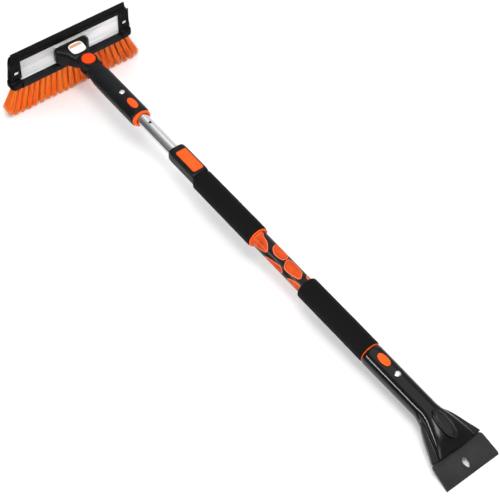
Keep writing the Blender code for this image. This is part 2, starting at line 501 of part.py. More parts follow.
pocket = blade_solid([(20, -36.4), (20, 36.4), (47.0, 33.0), (47.0, -33.0)], -0.35, 3.45)
plate_room = blade_solid([(20, -47), (20, 47), (37.6, 47), (37.6, -47)], -6.0, 3.45)
pad_z, pad_tilt = 11.2, math.radians(11)
pad = lambda grow: turned(dome(801.0, 0, 22.5 + grow, 9.4 + grow, [(pad_z - 2.6 - grow, 0.0), (pad_z + 0.3, 0.0), (pad_z + 1.4, 0.8), (pad_z + 2.2, 2.6), (pad_z + 2.6, 5.2)], 2.0), pad_tilt, (801.0, 0, pad_z))
pad_hole = turned(prism(oval(801.0, 0, 22.9, 9.8, 32, 2.0), pad_z - 3.0, pad_z + 14, "Z"), pad_tilt, (801.0, 0, pad_z))
screw_hole = revolve([(0, -5.0), (2.2, -5.0), (2.2, 12.7), (4.8, 12.7), (4.8, 24), (0, 24)], 24, "Z", (SCR_SCREW_S, 0, 0))
carve(body, ("-", front), ("-", pocket), ("-", plate_room), smooth=30)
carve(body, ("-", rod(11.4, 655, 703.5, SEG, 0, "X")), ("-", prism(oval(SCR_BUTTON_S, 0, 12.8, 7.1, 28, 2.2), 11.8, 24, "Z")), ("-", screw_hole), ("-", pad_hole), smooth=30)
add("thumb_pad", pad(0.0), (0.012, 0.013, 0.015), 0.12, coat=0.5)
pan_screw("scraper_screw", SCR_SCREW_S, 12.9, -4.4)
add("scraper_button", dome(SCR_BUTTON_S, 0, 12.4, 6.7, [(13.0, 0.3), (13.3, 0.0), (14.6, 0.0), (15.4, 0.7), (15.9, 2.4)], 2.2), *ORANGE, origin=(SCR_BUTTON_S, 0, 14), coat=0.3)
add("scraper_button_spring", ribbon([(677.0, 12.05), (681.0, 12.15), (685.2, 12.7), (689.4, 12.15), (693.4, 12.05)], 2.6, 0.25), (0.6, 0.6, 0.62), 0.3, 1.0)

blade_outline = [(0, -BLADE_W), (37.2, -42.4), (37.2, -33.8), (46.5, -32.6), (46.5, 32.6), (37.2, 33.8), (37.2, 42.4), (0, BLADE_W)]
blade = add("scraper_blade", blade_solid(blade_outline, 0.0, 3.1), (0.045, 0.046, 0.048), 0.42)
bevel = prism([on_blade(*p) for p in ((-2, -0.3), (5.5, 4.2), (5.5, 9), (-2, 9))], -50, 50, "Y")
hole = []
for k in range(28):
    a = 2 * math.pi * k / 28
    c, s_ = math.cos(a), math.sin(a)
    hole.append((15.8 + 7.0 * c, (4.1 + 0.8 * c) * s_))
punch = bmesh.new()
low_ring = [punch.verts.new((on_blade(a, -4)[0], y, on_blade(a, -4)[1])) for a, y in hole]
top_ring = [punch.verts.new((on_blade(a, 8)[0], y, on_blade(a, 8)[1])) for a, y in hole]
for i in range(len(hole)):
    j = (i + 1) % len(hole)
    punch.faces.new((low_ring[i], low_ring[j], top_ring[j], top_ring[i]))
punch.faces.new(low_ring[::-1])
punch.faces.new(top_ring)
carve(blade, ("-", bevel), ("-", punch))
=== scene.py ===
import json
import math
import random

import bmesh
import bpy
import numpy as np
from mathutils import Matrix, Vector, noise

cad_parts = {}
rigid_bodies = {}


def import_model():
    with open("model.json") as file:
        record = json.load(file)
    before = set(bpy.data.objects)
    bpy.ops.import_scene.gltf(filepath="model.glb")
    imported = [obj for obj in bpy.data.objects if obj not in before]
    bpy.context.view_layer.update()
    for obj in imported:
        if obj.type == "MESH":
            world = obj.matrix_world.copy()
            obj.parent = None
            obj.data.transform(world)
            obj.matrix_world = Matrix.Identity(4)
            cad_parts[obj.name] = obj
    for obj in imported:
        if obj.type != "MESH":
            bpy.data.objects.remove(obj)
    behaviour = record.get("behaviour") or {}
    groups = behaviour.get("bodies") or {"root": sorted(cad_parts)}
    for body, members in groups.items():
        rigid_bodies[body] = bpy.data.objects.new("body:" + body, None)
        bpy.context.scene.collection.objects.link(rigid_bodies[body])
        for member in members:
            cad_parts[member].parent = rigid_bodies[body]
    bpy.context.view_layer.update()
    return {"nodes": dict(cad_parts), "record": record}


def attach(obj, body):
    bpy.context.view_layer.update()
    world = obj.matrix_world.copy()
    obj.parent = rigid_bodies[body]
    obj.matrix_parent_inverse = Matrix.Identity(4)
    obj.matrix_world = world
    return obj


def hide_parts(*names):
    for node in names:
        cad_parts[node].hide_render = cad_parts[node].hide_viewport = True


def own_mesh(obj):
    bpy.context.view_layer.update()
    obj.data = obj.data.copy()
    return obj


for old in list(bpy.data.objects):
    bpy.data.objects.remove(old, do_unlink=True)
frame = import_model()
NODES = frame["nodes"]
BODY_OF = {n: b for b, ns in frame["record"]["behaviour"]["bodies"].items() for n in ns}

# ------------------------------------------------------------------ the stick frame
MM = 0.001
TILT = math.radians(3.76)
PIVOT_H = 84.11
SHIFT_X = -392.5
RIG = Matrix.Translation((SHIFT_X * MM, 0, PIVOT_H * MM)) @ Matrix.Rotation(TILT, 4, "Y")
SEG = 96

TUBE_IN_R, TUBE_IN_BORE = 9.5, 8.3
TUBE_OUT_R, TUBE_OUT_BORE = 11.0, 10.2
FOAM_R = 17.0
NECK_W, NECK_TOP, NECK_LOW = 16.1, 12.3, 16.6
BARREL_R, LUG_TOP, LUG_BOTTOM = 14.3, 10.6, -14.6
SCREW_S, NECK_BUTTON_S, COLLAR_S = 90.0, 118.0, 138.2
DETENT_S, DETENT_PITCH = 163.0, 81.5
LOCK_S, LOCK_END = 226.0, 289.6
LEVER_S, PLUNGER_S = 262.0, 244.5
FOAM1 = (290.4, 421.0)
SLEEVE = (424.4, 527.7)
FOAM2 = (528.2, 659.0)
BODY_S, SCR_BUTTON_S, SCR_SCREW_S = 661.4, 685.2, 712.0
BLADE_S, BLADE_Z = 862.0, -27.6
BLADE_SLOPE = math.radians(18)
BLADE_W = 45.0
HEAD_X = -54.4
BLOCK = (-64.0, -46.0)
BLOCK_Z = (-36.2, -26.0)
FRAME_Y = 91.0
RUBBER_Y, RUBBER_TOP = 103.5, 32.5
BRISTLE_Y, SPLAY_Y = 107.0, 126.0


# ------------------------------------------------------------------ materials
def rgb(c):
    return (c[0], c[1], c[2], 1.0)


class Mat:
    """A small builder for one Principled material."""

    def __init__(self, name, **sockets):
        self.mat = bpy.data.materials.new(name)
        self.mat.use_nodes = True
        self.tree = self.mat.node_tree
        self.bsdf = self.tree.nodes["Principled BSDF"]
        for key, value in sockets.items():
            self.set(key.replace("_", " "), value)
        self.coords = self.tree.nodes.new("ShaderNodeTexCoord").outputs["Object"]

    def set(self, socket, value):
        self.bsdf.inputs[socket].default_value = rgb(value) if isinstance(value, tuple) and len(value) == 3 else value

    def link(self, a, b):
        self.tree.links.new(a, b)

    def node(self, kind, **values):
        n = self.tree.nodes.new(kind)
        for k, v in values.items():
            if k in n.inputs:
                if hasattr(v, "is_output"):
                    self.link(v, n.inputs[k])
                else:
                    n.inputs[k].default_value = v
            else:
                setattr(n, k, v)
        return n

    def scaled(self, sx, sy, sz, rot=(0, 0, 0)):
        m = self.node("ShaderNodeMapping")
        m.inputs["Scale"].default_value = (sx, sy, sz)
        m.inputs["Rotation"].default_value = rot
        self.link(self.coords, m.inputs["Vector"])
        return m.outputs["Vector"]

    def noise(self, scale, detail=3.0, vector=None, rough=0.55, distortion=0.0):
        n = self.node("ShaderNodeTexNoise", Scale=scale, Detail=detail, Roughness=rough, Distortion=distortion)
        self.link(vector or self.coords, n.inputs["Vector"])
        return n.outputs["Fac"]

    def voronoi(self, scale, vector=None, feature="F1"):
        n = self.node("ShaderNodeTexVoronoi", Scale=scale)
        n.feature = feature
        self.link(vector or self.coords, n.inputs["Vector"])
        return n.outputs["Distance"]

    def ramp(self, fac, stops):
        n = self.node("ShaderNodeValToRGB")
        e = n.color_ramp.elements
        while len(e) > 1:
            e.remove(e[-1])
        first = True
        for pos, c in stops:
            el = e[0] if first else e.new(pos)
            el.position = pos
            first = False
            el.color = rgb(c) if isinstance(c, tuple) else (c, c, c, 1)
        self.link(fac, n.inputs["Fac"])
        return n.outputs["Color"]

    def span(self, fac, lo, hi, a=0.0, b=1.0):
        n = self.node("ShaderNodeMapRange")
        n.inputs["From Min"].default_value, n.inputs["From Max"].default_value = a, b
        n.inputs["To Min"].default_value, n.inputs["To Max"].default_value = lo, hi
        self.link(fac, n.inputs["Value"])
        return n.outputs["Result"]

    def math(self, op, a, b=None):
        n = self.node("ShaderNodeMath", operation=op)
        for i, v in enumerate((a, b)):
            if v is None:
                continue
            if hasattr(v, "is_output"):
                self.link(v, n.inputs[i])
            else:
                n.inputs[i].default_value = v
        return n.outputs[0]

    def mix(self, fac, a, b, mode="MIX"):
        n = self.node("ShaderNodeMix", data_type="RGBA", blend_type=mode)
        for i, v in ((0, fac), (6, a), (7, b)):
            if hasattr(v, "is_output"):
                self.link(v, n.inputs[i])
            else:
                n.inputs[i].default_value = rgb(v) if isinstance(v, tuple) else v
        return n.outputs[2]

    def worn(self, lo=0.52, hi=0.62):
        """1 along convex edges."""
        g = self.node("ShaderNodeNewGeometry")
        return self.span(g.outputs["Pointiness"], 0.0, 1.0, lo, hi)

    def bump(self, height, strength=0.3, distance=0.0005):
        b = self.node("ShaderNodeBump", Strength=strength, Distance=distance)
        self.link(height, b.inputs["Height"])
        self.link(b.outputs["Normal"], self.bsdf.inputs["Normal"])
        return b

    def colour(self, socket):
        self.link(socket, self.bsdf.inputs["Base Color"])

    def rough(self, socket):
        self.link(socket, self.bsdf.inputs["Roughness"])


def moulded(name, dark, light, rough=(0.26, 0.4), grain=900.0, bump=0.12, coat=0.0, edge=(0.022, 0.023, 0.026), ior=1.5, spec=0.14):
    """Moulded plastic: slight tone changes, a fine eroded grain, paler rubbed edges and uneven gloss."""
    m = Mat(name, Coat_Weight=coat, Coat_Roughness=0.12, IOR=ior, Specular_IOR_Level=spec)
    cloud = m.noise(38.0, 4.0)
    base = m.ramp(cloud, [(0.3, dark), (0.72, light)])
    scuff = m.noise(260.0, 5.0, m.scaled(0.35, 1.6, 1.0), 0.7)
    m.colour(m.mix(m.math("MULTIPLY", m.worn(), m.span(scuff, 0.0, 0.5, 0.45, 0.75)), base, edge))
    m.rough(m.math("ADD", m.span(cloud, rough[0], rough[1], 0.3, 0.7), m.span(scuff, 0.0, 0.08, 0.5, 0.8)))
    m.bump(m.math("ADD", m.noise(grain * 2.2, 2.0), m.math("MULTIPLY", m.noise(45.0, 2.0), 1.2)), bump, 0.00025)
    return m.mat


def metal(name, tone, rough, along, stretch=60.0, bump=0.05, streak=0.1):
    """Drawn or brushed metal with streaks along one axis of the stick frame."""
    m = Mat(name, Metallic=1.0)
    k = [stretch, stretch, stretch]
    k["xyz".index(along)] = 1.2
    lines = m.noise(14.0, 5.0, m.scaled(*k), 0.65)
    cloud = m.noise(30.0, 3.0)
    dark = tuple(c * (1 - streak) for c in tone)
    m.colour(m.mix(m.span(cloud, 0.0, 0.25, 0.45, 0.7), m.ramp(lines, [(0.32, dark), (0.66, tone)]), tuple(c * 0.93 for c in tone)))
    m.rough(m.math("ADD", m.span(lines, rough[0], rough[1], 0.3, 0.7), m.span(cloud, 0.0, 0.06, 0.5, 0.8)))
    m.bump(lines, bump, 0.0001)
    return m.mat


BLACK = moulded("black_moulded", (0.0036, 0.0042, 0.0052), (0.0068, 0.0076, 0.009), (0.32, 0.44))
BLACK_FRAME = moulded("black_frame", (0.0022, 0.0024, 0.0028), (0.004, 0.0043, 0.005), (0.34, 0.46), spec=0.08)
BLACK_GLOSS = moulded("black_gloss", (0.0022, 0.0024, 0.0028), (0.0038, 0.0041, 0.0046), (0.14, 0.2), bump=0.04, coat=0.04, spec=0.22)
BLACK_RIB = moulded("black_ribbed", (0.0034, 0.0038, 0.0046), (0.006, 0.0066, 0.0078), (0.4, 0.52), bump=0.2, spec=0.14)
ORANGE = moulded("orange_moulded", (0.9, 0.082, 0.003), (0.97, 0.115, 0.006), (0.3, 0.4), bump=0.06, coat=0.04, edge=(1.0, 0.26, 0.07), spec=0.18)
ORANGE_DEEP = moulded("orange_button", (0.95, 0.05, 0.001), (1.0, 0.074, 0.002), (0.34, 0.44), bump=0.06, edge=(1.0, 0.2, 0.04), spec=0.1)
TUBE = metal("tube_satin", (0.67, 0.675, 0.69), (0.2, 0.27), "x", streak=0.06)
STEEL = metal("zinc_steel", (0.82, 0.82, 0.84), (0.2, 0.3), "y", 20.0, streak=0.05)
SPRING = metal("spring_steel", (0.55, 0.55, 0.57), (0.25, 0.35), "z", 20.0)
DARK_STEEL = metal("blackened_steel", (0.05, 0.05, 0.054), (0.35, 0.45), "y", 20.0)


def panel_material():
    m = Mat("panel_silver", Metallic=0.3, IOR=1.5)
    lines = m.noise(9.0, 6.0, m.scaled(70.0, 1.0, 70.0), 0.7, 0.3)
    bands = m.noise(5.0, 2.0, m.scaled(9.0, 0.8, 9.0), 0.5)
    m.colour(m.mix(m.span(bands, 0.0, 0.6, 0.4, 0.66), m.ramp(lines, [(0.3, (0.66, 0.66, 0.67)), (0.6, (0.93, 0.93, 0.935))]), (1.0, 1.0, 1.0)))
    m.rough(m.span(lines, 0.24, 0.42, 0.3, 0.7))
    m.bump(lines, 0.1, 0.0001)
    return m.mat


def rubber_material():
    m = Mat("wiper_rubber", Specular_IOR_Level=0.12)
    cloud = m.noise(60.0, 4.0)
    dust = m.noise(420.0, 4.0, m.scaled(1.0, 0.3, 1.0))
    m.colour(m.mix(m.span(dust, 0.0, 0.35, 0.55, 0.8), m.ramp(cloud, [(0.3, (0.0032, 0.0032, 0.0036)), (0.7, (0.0062, 0.0062, 0.0068))]), (0.018, 0.018, 0.0195)))
    m.rough(m.span(cloud, 0.5, 0.68, 0.3, 0.7))
    m.bump(m.noise(1500.0, 2.0), 0.15, 0.0002)
    return m.mat


def foam_material():
    m = Mat("closed_cell_foam", Specular_IOR_Level=0.09, Sheen_Weight=0.015, Sheen_Roughness=0.5)
    cells = m.voronoi(1150.0)
    fine = m.noise(2400.0, 3.0)
    cloud = m.noise(55.0, 5.0, None, 0.6)
    base = m.ramp(cloud, [(0.28, (0.0024, 0.0025, 0.0027)), (0.74, (0.0052, 0.0053, 0.0056))])
    pores = m.span(cells, 1.0, 0.0, 0.1, 0.5)
    m.colour(m.mix(m.math("MULTIPLY", pores, 0.35), base, (0.003, 0.003, 0.0035)))
    m.rough(m.span(cloud, 0.72, 0.9, 0.3, 0.7))
    m.bump(m.math("ADD", m.math("MULTIPLY", cells, 0.9), m.math("MULTIPLY", fine, 0.5)), 0.45, 0.00035)
    return m.mat


def bristle_material():
    m = Mat("bristle_filament", Roughness=0.45, IOR=1.5, Subsurface_Weight=0.25, Subsurface_Scale=0.004, Specular_IOR_Level=0.3)
    m.bsdf.inputs["Subsurface Radius"].default_value = (1.0, 0.35, 0.08)
    tint = m.node("ShaderNodeAttribute", attribute_name="tint").outputs["Fac"]
    along = m.node("ShaderNodeAttribute", attribute_name="along").outputs["Fac"]
    base = m.ramp(tint, [(0.0, (0.97, 0.085, 0.002)), (0.45, (1.0, 0.15, 0.006)), (0.8, (1.0, 0.21, 0.015)), (1.0, (1.0, 0.34, 0.06))])
    pale = m.mix(m.span(along, 0.25, 0.0, 0.0, 0.3), base, (1.0, 0.34, 0.07))
    m.colour(m.mix(m.span(along, 0.0, 0.35, 0.84, 1.0), pale, (1.0, 0.38, 0.07)))
    return m.mat


def blade_material():
    m = Mat("blade_plastic", Specular_IOR_Level=0.2)
    grain = m.noise(1600.0, 3.0)
    cloud = m.noise(40.0, 4.0)
    scratch = m.noise(30.0, 6.0, m.scaled(3.0, 60.0, 3.0, (0, 0, 0.35)), 0.75, 0.5)
    base = m.ramp(cloud, [(0.3, (0.016, 0.0161, 0.0166)), (0.72, (0.028, 0.0282, 0.029))])
    m.colour(m.mix(m.span(scratch, 0.0, 0.3, 0.6, 0.85), base, (0.075, 0.076, 0.078)))
    m.rough(m.span(cloud, 0.42, 0.56, 0.3, 0.7))
    m.bump(m.math("ADD", grain, m.math("MULTIPLY", scratch, 0.3)), 0.16, 0.0002)
    return m.mat


def badge_material():
    m = Mat("badge_plain", Roughness=0.4, Coat_Weight=0.3)
    tone = m.node("ShaderNodeAttribute", attribute_name="tone").outputs["Fac"]
    cloud = m.noise(120.0, 3.0)
    base = m.ramp(tone, [(0.0, (0.80, 0.78, 0.73)), (0.5, (0.83, 0.80, 0.74)), (0.75, (0.93, 0.93, 0.92))])
    place = m.node("ShaderNodeSeparateXYZ")
    m.link(m.coords, place.inputs[0])
    band = m.math("MULTIPLY", m.math("MULTIPLY", m.math("GREATER_THAN", place.outputs["X"], -0.0405), m.math("LESS_THAN", place.outputs["X"], -0.0345)), m.span(tone, 0.0, 1.0, 0.8, 0.9))
    base = m.mix(band, base, (0.62, 0.3, 0.16))
    m.colour(m.mix(m.span(cloud, 0.0, 0.2, 0.45, 0.8), base, (0.62, 0.6, 0.56)))
    m.rough(m.span(cloud, 0.3, 0.45, 0.3, 0.7))
    m.bump(m.noise(1800.0, 2.0), 0.05, 0.0001)
    return m.mat


def sleeve_material():
    m = Mat("sleeve_orange", Coat_Weight=0.04, Coat_Roughness=0.2, IOR=1.5, Specular_IOR_Level=0.14)
    rim = m.node("ShaderNodeAttribute", attribute_name="rim").outputs["Fac"]
    cloud = m.noise(70.0, 4.0, None, 0.6)
    base = m.ramp(cloud, [(0.3, (0.4, 0.036, 0.002)), (0.7, (0.72, 0.085, 0.006))])
    # The rim weight paints a paler highlight along the edge of each orange cell, over the cell's own orange.
    m.colour(m.mix(m.span(rim, 0.0, 0.9, 0.2, 0.95), base, (0.92, 0.2, 0.085)))
    m.rough(m.span(cloud, 0.3, 0.42, 0.3, 0.7))
    m.bump(m.noise(1700.0, 2.0), 0.08, 0.0002)
    return m.mat


PANEL, RUBBER, FOAM = panel_material(), rubber_material(), foam_material()
BRISTLE, BLADE, BADGE, SLEEVE_ORANGE = bristle_material(), blade_material(), badge_material(), sleeve_material()
SLEEVE_BLACK = moulded("sleeve_black", (0.0035, 0.0037, 0.0042), (0.006, 0.0063, 0.007), (0.3, 0.38), bump=0.07, coat=0.05, spec=0.16)


# ------------------------------------------------------------------ mesh helpers, in millimetres of the stick frame
def loft(sections, caps=True):
    bm = bmesh.new()
    rings = [[bm.verts.new(p) for p in sec] for sec in sections]
    n = len(rings[0])
    for a, b in zip(rings, rings[1:]):
        for i in range(n):
            j = (i + 1) % n
            bm.faces.new((a[i], a[j], b[j], b[i]))
    if caps:
        bm.faces.new(rings[0][::-1])
        bm.faces.new(rings[-1])
    bmesh.ops.recalc_face_normals(bm, faces=bm.faces)
    return bm


def revolve(profile, seg=SEG, axis="X", centre=(0, 0, 0)):
    bm = bmesh.new()
    c = Vector(centre)

    def place(r, t, k):
        a = 2 * math.pi * k / seg
        u, v = r * math.cos(a), r * math.sin(a)
        return c + Vector({"X": (t, u, v), "Y": (v, t, u), "Z": (u, v, t)}[axis])

    rings = []
    for r, t in profile:
        rings.append([bm.verts.new(place(r, t, k)) for k in range(seg if r > 0 else 1)])
    for a, b in zip(rings, rings[1:] + rings[:1]):
        if len(a) == 1 and len(b) == 1:
            continue
        for k in range(seg):
            j = (k + 1) % seg
            face = []
            for ring, ids in ((a, (k, j)), (b, (j, k))):
                face += [ring[0]] if len(ring) == 1 else [ring[i] for i in ids]
            bm.faces.new(face)
    bmesh.ops.recalc_face_normals(bm, faces=bm.faces)
    return bm


def rounded(corners, radii, steps=5):
    """A (radius, along) profile with each corner rounded by its own radius."""
    out = []
    n = len(corners)
    for i, (p, r) in enumerate(zip(corners, radii)):
        p = Vector(p)
        if r <= 0:
            out.append(tuple(p))
            continue
        a, b = Vector(corners[i - 1]) - p, Vector(corners[(i + 1) % n]) - p
        r_ = min(r, a.length * 0.49, b.length * 0.49)
        p0, p1 = p + a.normalized() * r_, p + b.normalized() * r_
        for k in range(steps + 1):
            t = k / steps
            out.append(tuple(p0 * (1 - t) ** 2 + p * 2 * t * (1 - t) + p1 * t * t))
    return out


def tube(r_out, r_in, a, b, seg=SEG, ch=0.3, axis="X", centre=(0, 0, 0)):
    return revolve([(r_in, a), (r_out - ch, a), (r_out, a + ch), (r_out, b - ch), (r_out - ch, b), (r_in, b)], seg, axis, centre)


def rod(r, a, b, seg=24, ch=0.2, axis="Z", centre=(0, 0, 0)):
    return revolve([(0, a), (r - ch, a), (r, a + ch), (r, b - ch), (r - ch, b), (0, b)], max(seg, 48), axis, centre)


def box(lo, hi, bevel=0.0, segments=2):
    bm = bmesh.new()
    bmesh.ops.create_cube(bm, size=1)
    for v in bm.verts:
        v.co = Vector([(l + h) / 2 + c * (h - l) for l, h, c in zip(lo, hi, v.co)])
    if bevel:
        bmesh.ops.bevel(bm, geom=list(bm.edges), offset=bevel, segments=segments, profile=0.5, affect="EDGES")
    return bm


def prism(poly, a, b, axis="Y"):
    place = {"X": lambda p, t: (t, p[0], p[1]), "Y": lambda p, t: (p[0], t, p[1]), "Z": lambda p, t: (p[0], p[1], t)}[axis]
    return loft([[place(p, a) for p in poly], [place(p, b) for p in poly]])


def oval(cx, cy, hx, hy, n=64, e=2.0):
    out = []
    for k in range(n):
        a = 2 * math.pi * k / n
        c, s = math.cos(a), math.sin(a)
        out.append((cx + hx * math.copysign(abs(c) ** (2 / e), c), cy + hy * math.copysign(abs(s) ** (2 / e), s)))
    return out


def dome(cx, cy, hx, hy, levels, e=2.0, n=72):
    return loft([[(x, y, z) for x, y in oval(cx, cy, hx - d, hy - d, n, e)] for z, d in levels])


def crowned(cx, cy, hx, hy, z0, z1, crown, e=2.0, edge=1.2, n=72, dish=0.0):
    """A push button: straight sides, a rounded rim and a softly crowned or dished top."""
    levels = [(z0, 0.35), (z0 + 0.3, 0.0), (z1 - edge, 0.0)]
    for k in range(1, 6):
        a = math.pi / 2 * k / 5
        levels.append((z1 - edge + edge * math.sin(a), edge * (1 - math.cos(a))))
    rings = [[(x, y, z) for x, y in oval(cx, cy, hx - d, hy - d, n, e)] for z, d in levels]
    for k in range(1, 9):
        f = 1 - k / 8.6
        z = z1 + crown * (1 - f * f) - dish * max(0.0, 1 - (f / 0.8) ** 2)
        rings.append([(x, y, z) for x, y in oval(cx, cy, (hx - edge) * f, (hy - edge) * f, n, e)])
    return loft(rings)


def ribbon(points, half_y, thick):
    left, right = [], []
    for i, (x, z) in enumerate(points):
        (xa, za), (xb, zb) = points[max(i - 1, 0)], points[min(i + 1, len(points) - 1)]
        d = Vector((xb - xa, zb - za)).normalized()
        left.append((x - d.y * thick / 2, z + d.x * thick / 2))
        right.append((x + d.y * thick / 2, z - d.x * thick / 2))
    return prism(left + right[::-1], -half_y, half_y, "Y")


def coil(radius, wire, z0, z1, turns, centre, per_turn=36, sides=10):
    bm = bmesh.new()
    steps = int(turns * per_turn)
    rings = []
    for i in range(steps + 1):
        a = 2 * math.pi * i / per_turn
        z = z0 + wire + (z1 - z0 - 2 * wire) * i / steps
        out = Vector((math.cos(a), math.sin(a), 0))
        mid = Vector(centre) + out * radius + Vector((0, 0, z))
        rings.append([bm.verts.new(mid + out * wire * math.cos(b) + Vector((0, 0, wire * math.sin(b)))) for b in [2 * math.pi * k / sides for k in range(sides)]])
    for a, b in zip(rings, rings[1:]):
        for k in range(sides):
            j = (k + 1) % sides
            bm.faces.new((a[k], a[j], b[j], b[k]))
    bm.faces.new(rings[0][::-1])
    bm.faces.new(rings[-1])
    bmesh.ops.recalc_face_normals(bm, faces=bm.faces)
    return bm


def turned(bm, angle, about, axis="Y"):
    bmesh.ops.transform(bm, matrix=Matrix.Translation(about) @ Matrix.Rotation(angle, 4, axis) @ Matrix.Translation(-Vector(about)), verts=bm.verts)
    return bm


def flipped(bm):
    for v in bm.verts:
        v.co.y = -v.co.y
    bmesh.ops.reverse_faces(bm, faces=bm.faces)
    return bm


def pchip(x, y, xs):
    """Shape-keeping cubic interpolation of rows y at x."""
    x, y = np.asarray(x, float), np.asarray(y, float)
    h = np.diff(x)[:, None]
    d = np.diff(y, axis=0) / h
    m = np.zeros_like(y)
    w1, w2 = 2 * h[1:] + h[:-1], h[1:] + 2 * h[:-1]
    same = d[:-1] * d[1:] > 0
    with np.errstate(divide="ignore", invalid="ignore"):
        mid = (w1 + w2) / (w1 / d[:-1] + w2 / d[1:])
    m[1:-1] = np.where(same, mid, 0.0)
    m[0], m[-1] = d[0], d[-1]
    i = np.clip(np.searchsorted(x, xs, side="right") - 1, 0, len(x) - 2)
    t = ((xs - x[i]) / (x[i + 1] - x[i]))[:, None]
    hh = h[i]
    return ((1 + 2 * t) * (1 - t) ** 2) * y[i] + t * (1 - t) ** 2 * hh * m[i] + t * t * (3 - 2 * t) * y[i + 1] + t * t * (t - 1) * hh * m[i + 1]


def smooth_stations(stations, step):
    """More stations between those given: the first number of each is its place."""
    x = [s[0] for s in stations]
    xs = []
    for a, b in zip(x, x[1:]):
        k = max(2, min(24, int(math.ceil((b - a) / step))))
        xs += [a + (b - a) * i / k for i in range(k)]
    xs.append(x[-1])
    rows = pchip(x, [s[1:] for s in stations], np.array(xs))
    return [(a, *r) for a, r in zip(xs, rows.tolist())]


PIECES = {}


def add(node, bm, mat, replaces=None, sharp=35, bevel=0.0, segments=2, name=None):
    """A piece in place of a CAD node, on the same body."""
    for v in bm.verts:
        v.co *= MM
    name = name or "look_" + node
    mesh = bpy.data.meshes.new(name)
    bm.to_mesh(mesh)
    bm.free()
    obj = bpy.data.objects.new(name, mesh)
    bpy.context.scene.collection.objects.link(obj)
    obj.matrix_world = RIG
    mesh.materials.append(mat)
    mesh.shade_smooth()
    mesh.set_sharp_from_angle(angle=math.radians(sharp))
    PIECES[name] = (obj, node, replaces if replaces is not None else [node], sharp, bevel, segments)
    return obj


def carve(obj, *steps):
    for op, bm in steps:
        bmesh.ops.recalc_face_normals(bm, faces=bm.faces)
        for v in bm.verts:
            v.co *= MM
        mesh = bpy.data.meshes.new("helper")
        bm.to_mesh(mesh)
        bm.free()
        helper = bpy.data.objects.new("helper", mesh)
        bpy.context.scene.collection.objects.link(helper)
        helper.matrix_world = RIG
        mod = obj.modifiers.new("carve", "BOOLEAN")
        mod.object = helper
        mod.solver = "EXACT"
        mod.operation = {"-": "DIFFERENCE", "+": "UNION", "&": "INTERSECT"}[op]
        bpy.context.view_layer.update()
        graph = bpy.context.evaluated_depsgraph_get()
        made = bpy.data.meshes.new_from_object(obj.evaluated_get(graph))
        obj.modifiers.clear()
        mat = obj.data.materials[0]
        obj.data = made
        made.materials.clear()
        made.materials.append(mat)
        bpy.data.objects.remove(helper, do_unlink=True)
    return obj


def settle():
    """Bevels, smooth shading, riding and replacing for every piece made."""
    for name, (obj, node, nodes, sharp, bevel, segments) in PIECES.items():
        obj.data.shade_smooth()
        obj.data.set_sharp_from_angle(angle=math.radians(sharp))
        if bevel:
            mod = obj.modifiers.new("edges", "BEVEL")
            mod.width = bevel * MM
            mod.segments = segments
            mod.limit_method = "ANGLE"
            mod.angle_limit = math.radians(sharp)
            mod.use_clamp_overlap = True
            mod.harden_normals = False
            graph = bpy.context.evaluated_depsgraph_get()
            made = bpy.data.meshes.new_from_object(obj.evaluated_get(graph))
            obj.modifiers.clear()
            obj.data = made
            made.shade_smooth()
            made.set_sharp_from_angle(angle=math.radians(max(sharp, 42)))
        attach(obj, BODY_OF[node])
        if nodes:
            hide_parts(*nodes)


# ------------------------------------------------------------------ brush head
def floor_z(x, lift=0.0):
    """Height in the stick frame of a point that far above the floor, mm."""
    return (lift - PIVOT_H + x * math.sin(TILT)) / math.cos(TILT)


def rounded_poly(corners, radii, steps=4):
    return rounded(corners, radii, steps)


bar = rounded_poly([(-64.0, -36.2), (-46.0, -36.2), (-46.0, -26.0), (-64.0, -26.0)], [1.4, 1.6, 3.2, 3.0], 5)
block = add("brush_block", prism(bar, -91.6, 91.6, "Y"), BLACK, sharp=40)
carve(block, ("-", box((-46.6, -90.5, -33.6), (-45.4, 90.5, -33.0))))
pad = rounded_poly([(-62.6, -37.2), (-48.0, -37.2), (-48.0, -35.9), (-62.6, -35.9)], [0.5, 0.5, 0, 0], 3)
add("brush_block", prism(pad, -106.0, 106.0, "Y"), BLACK_RIB, replaces=[], sharp=40, name="look_tuft_strip")


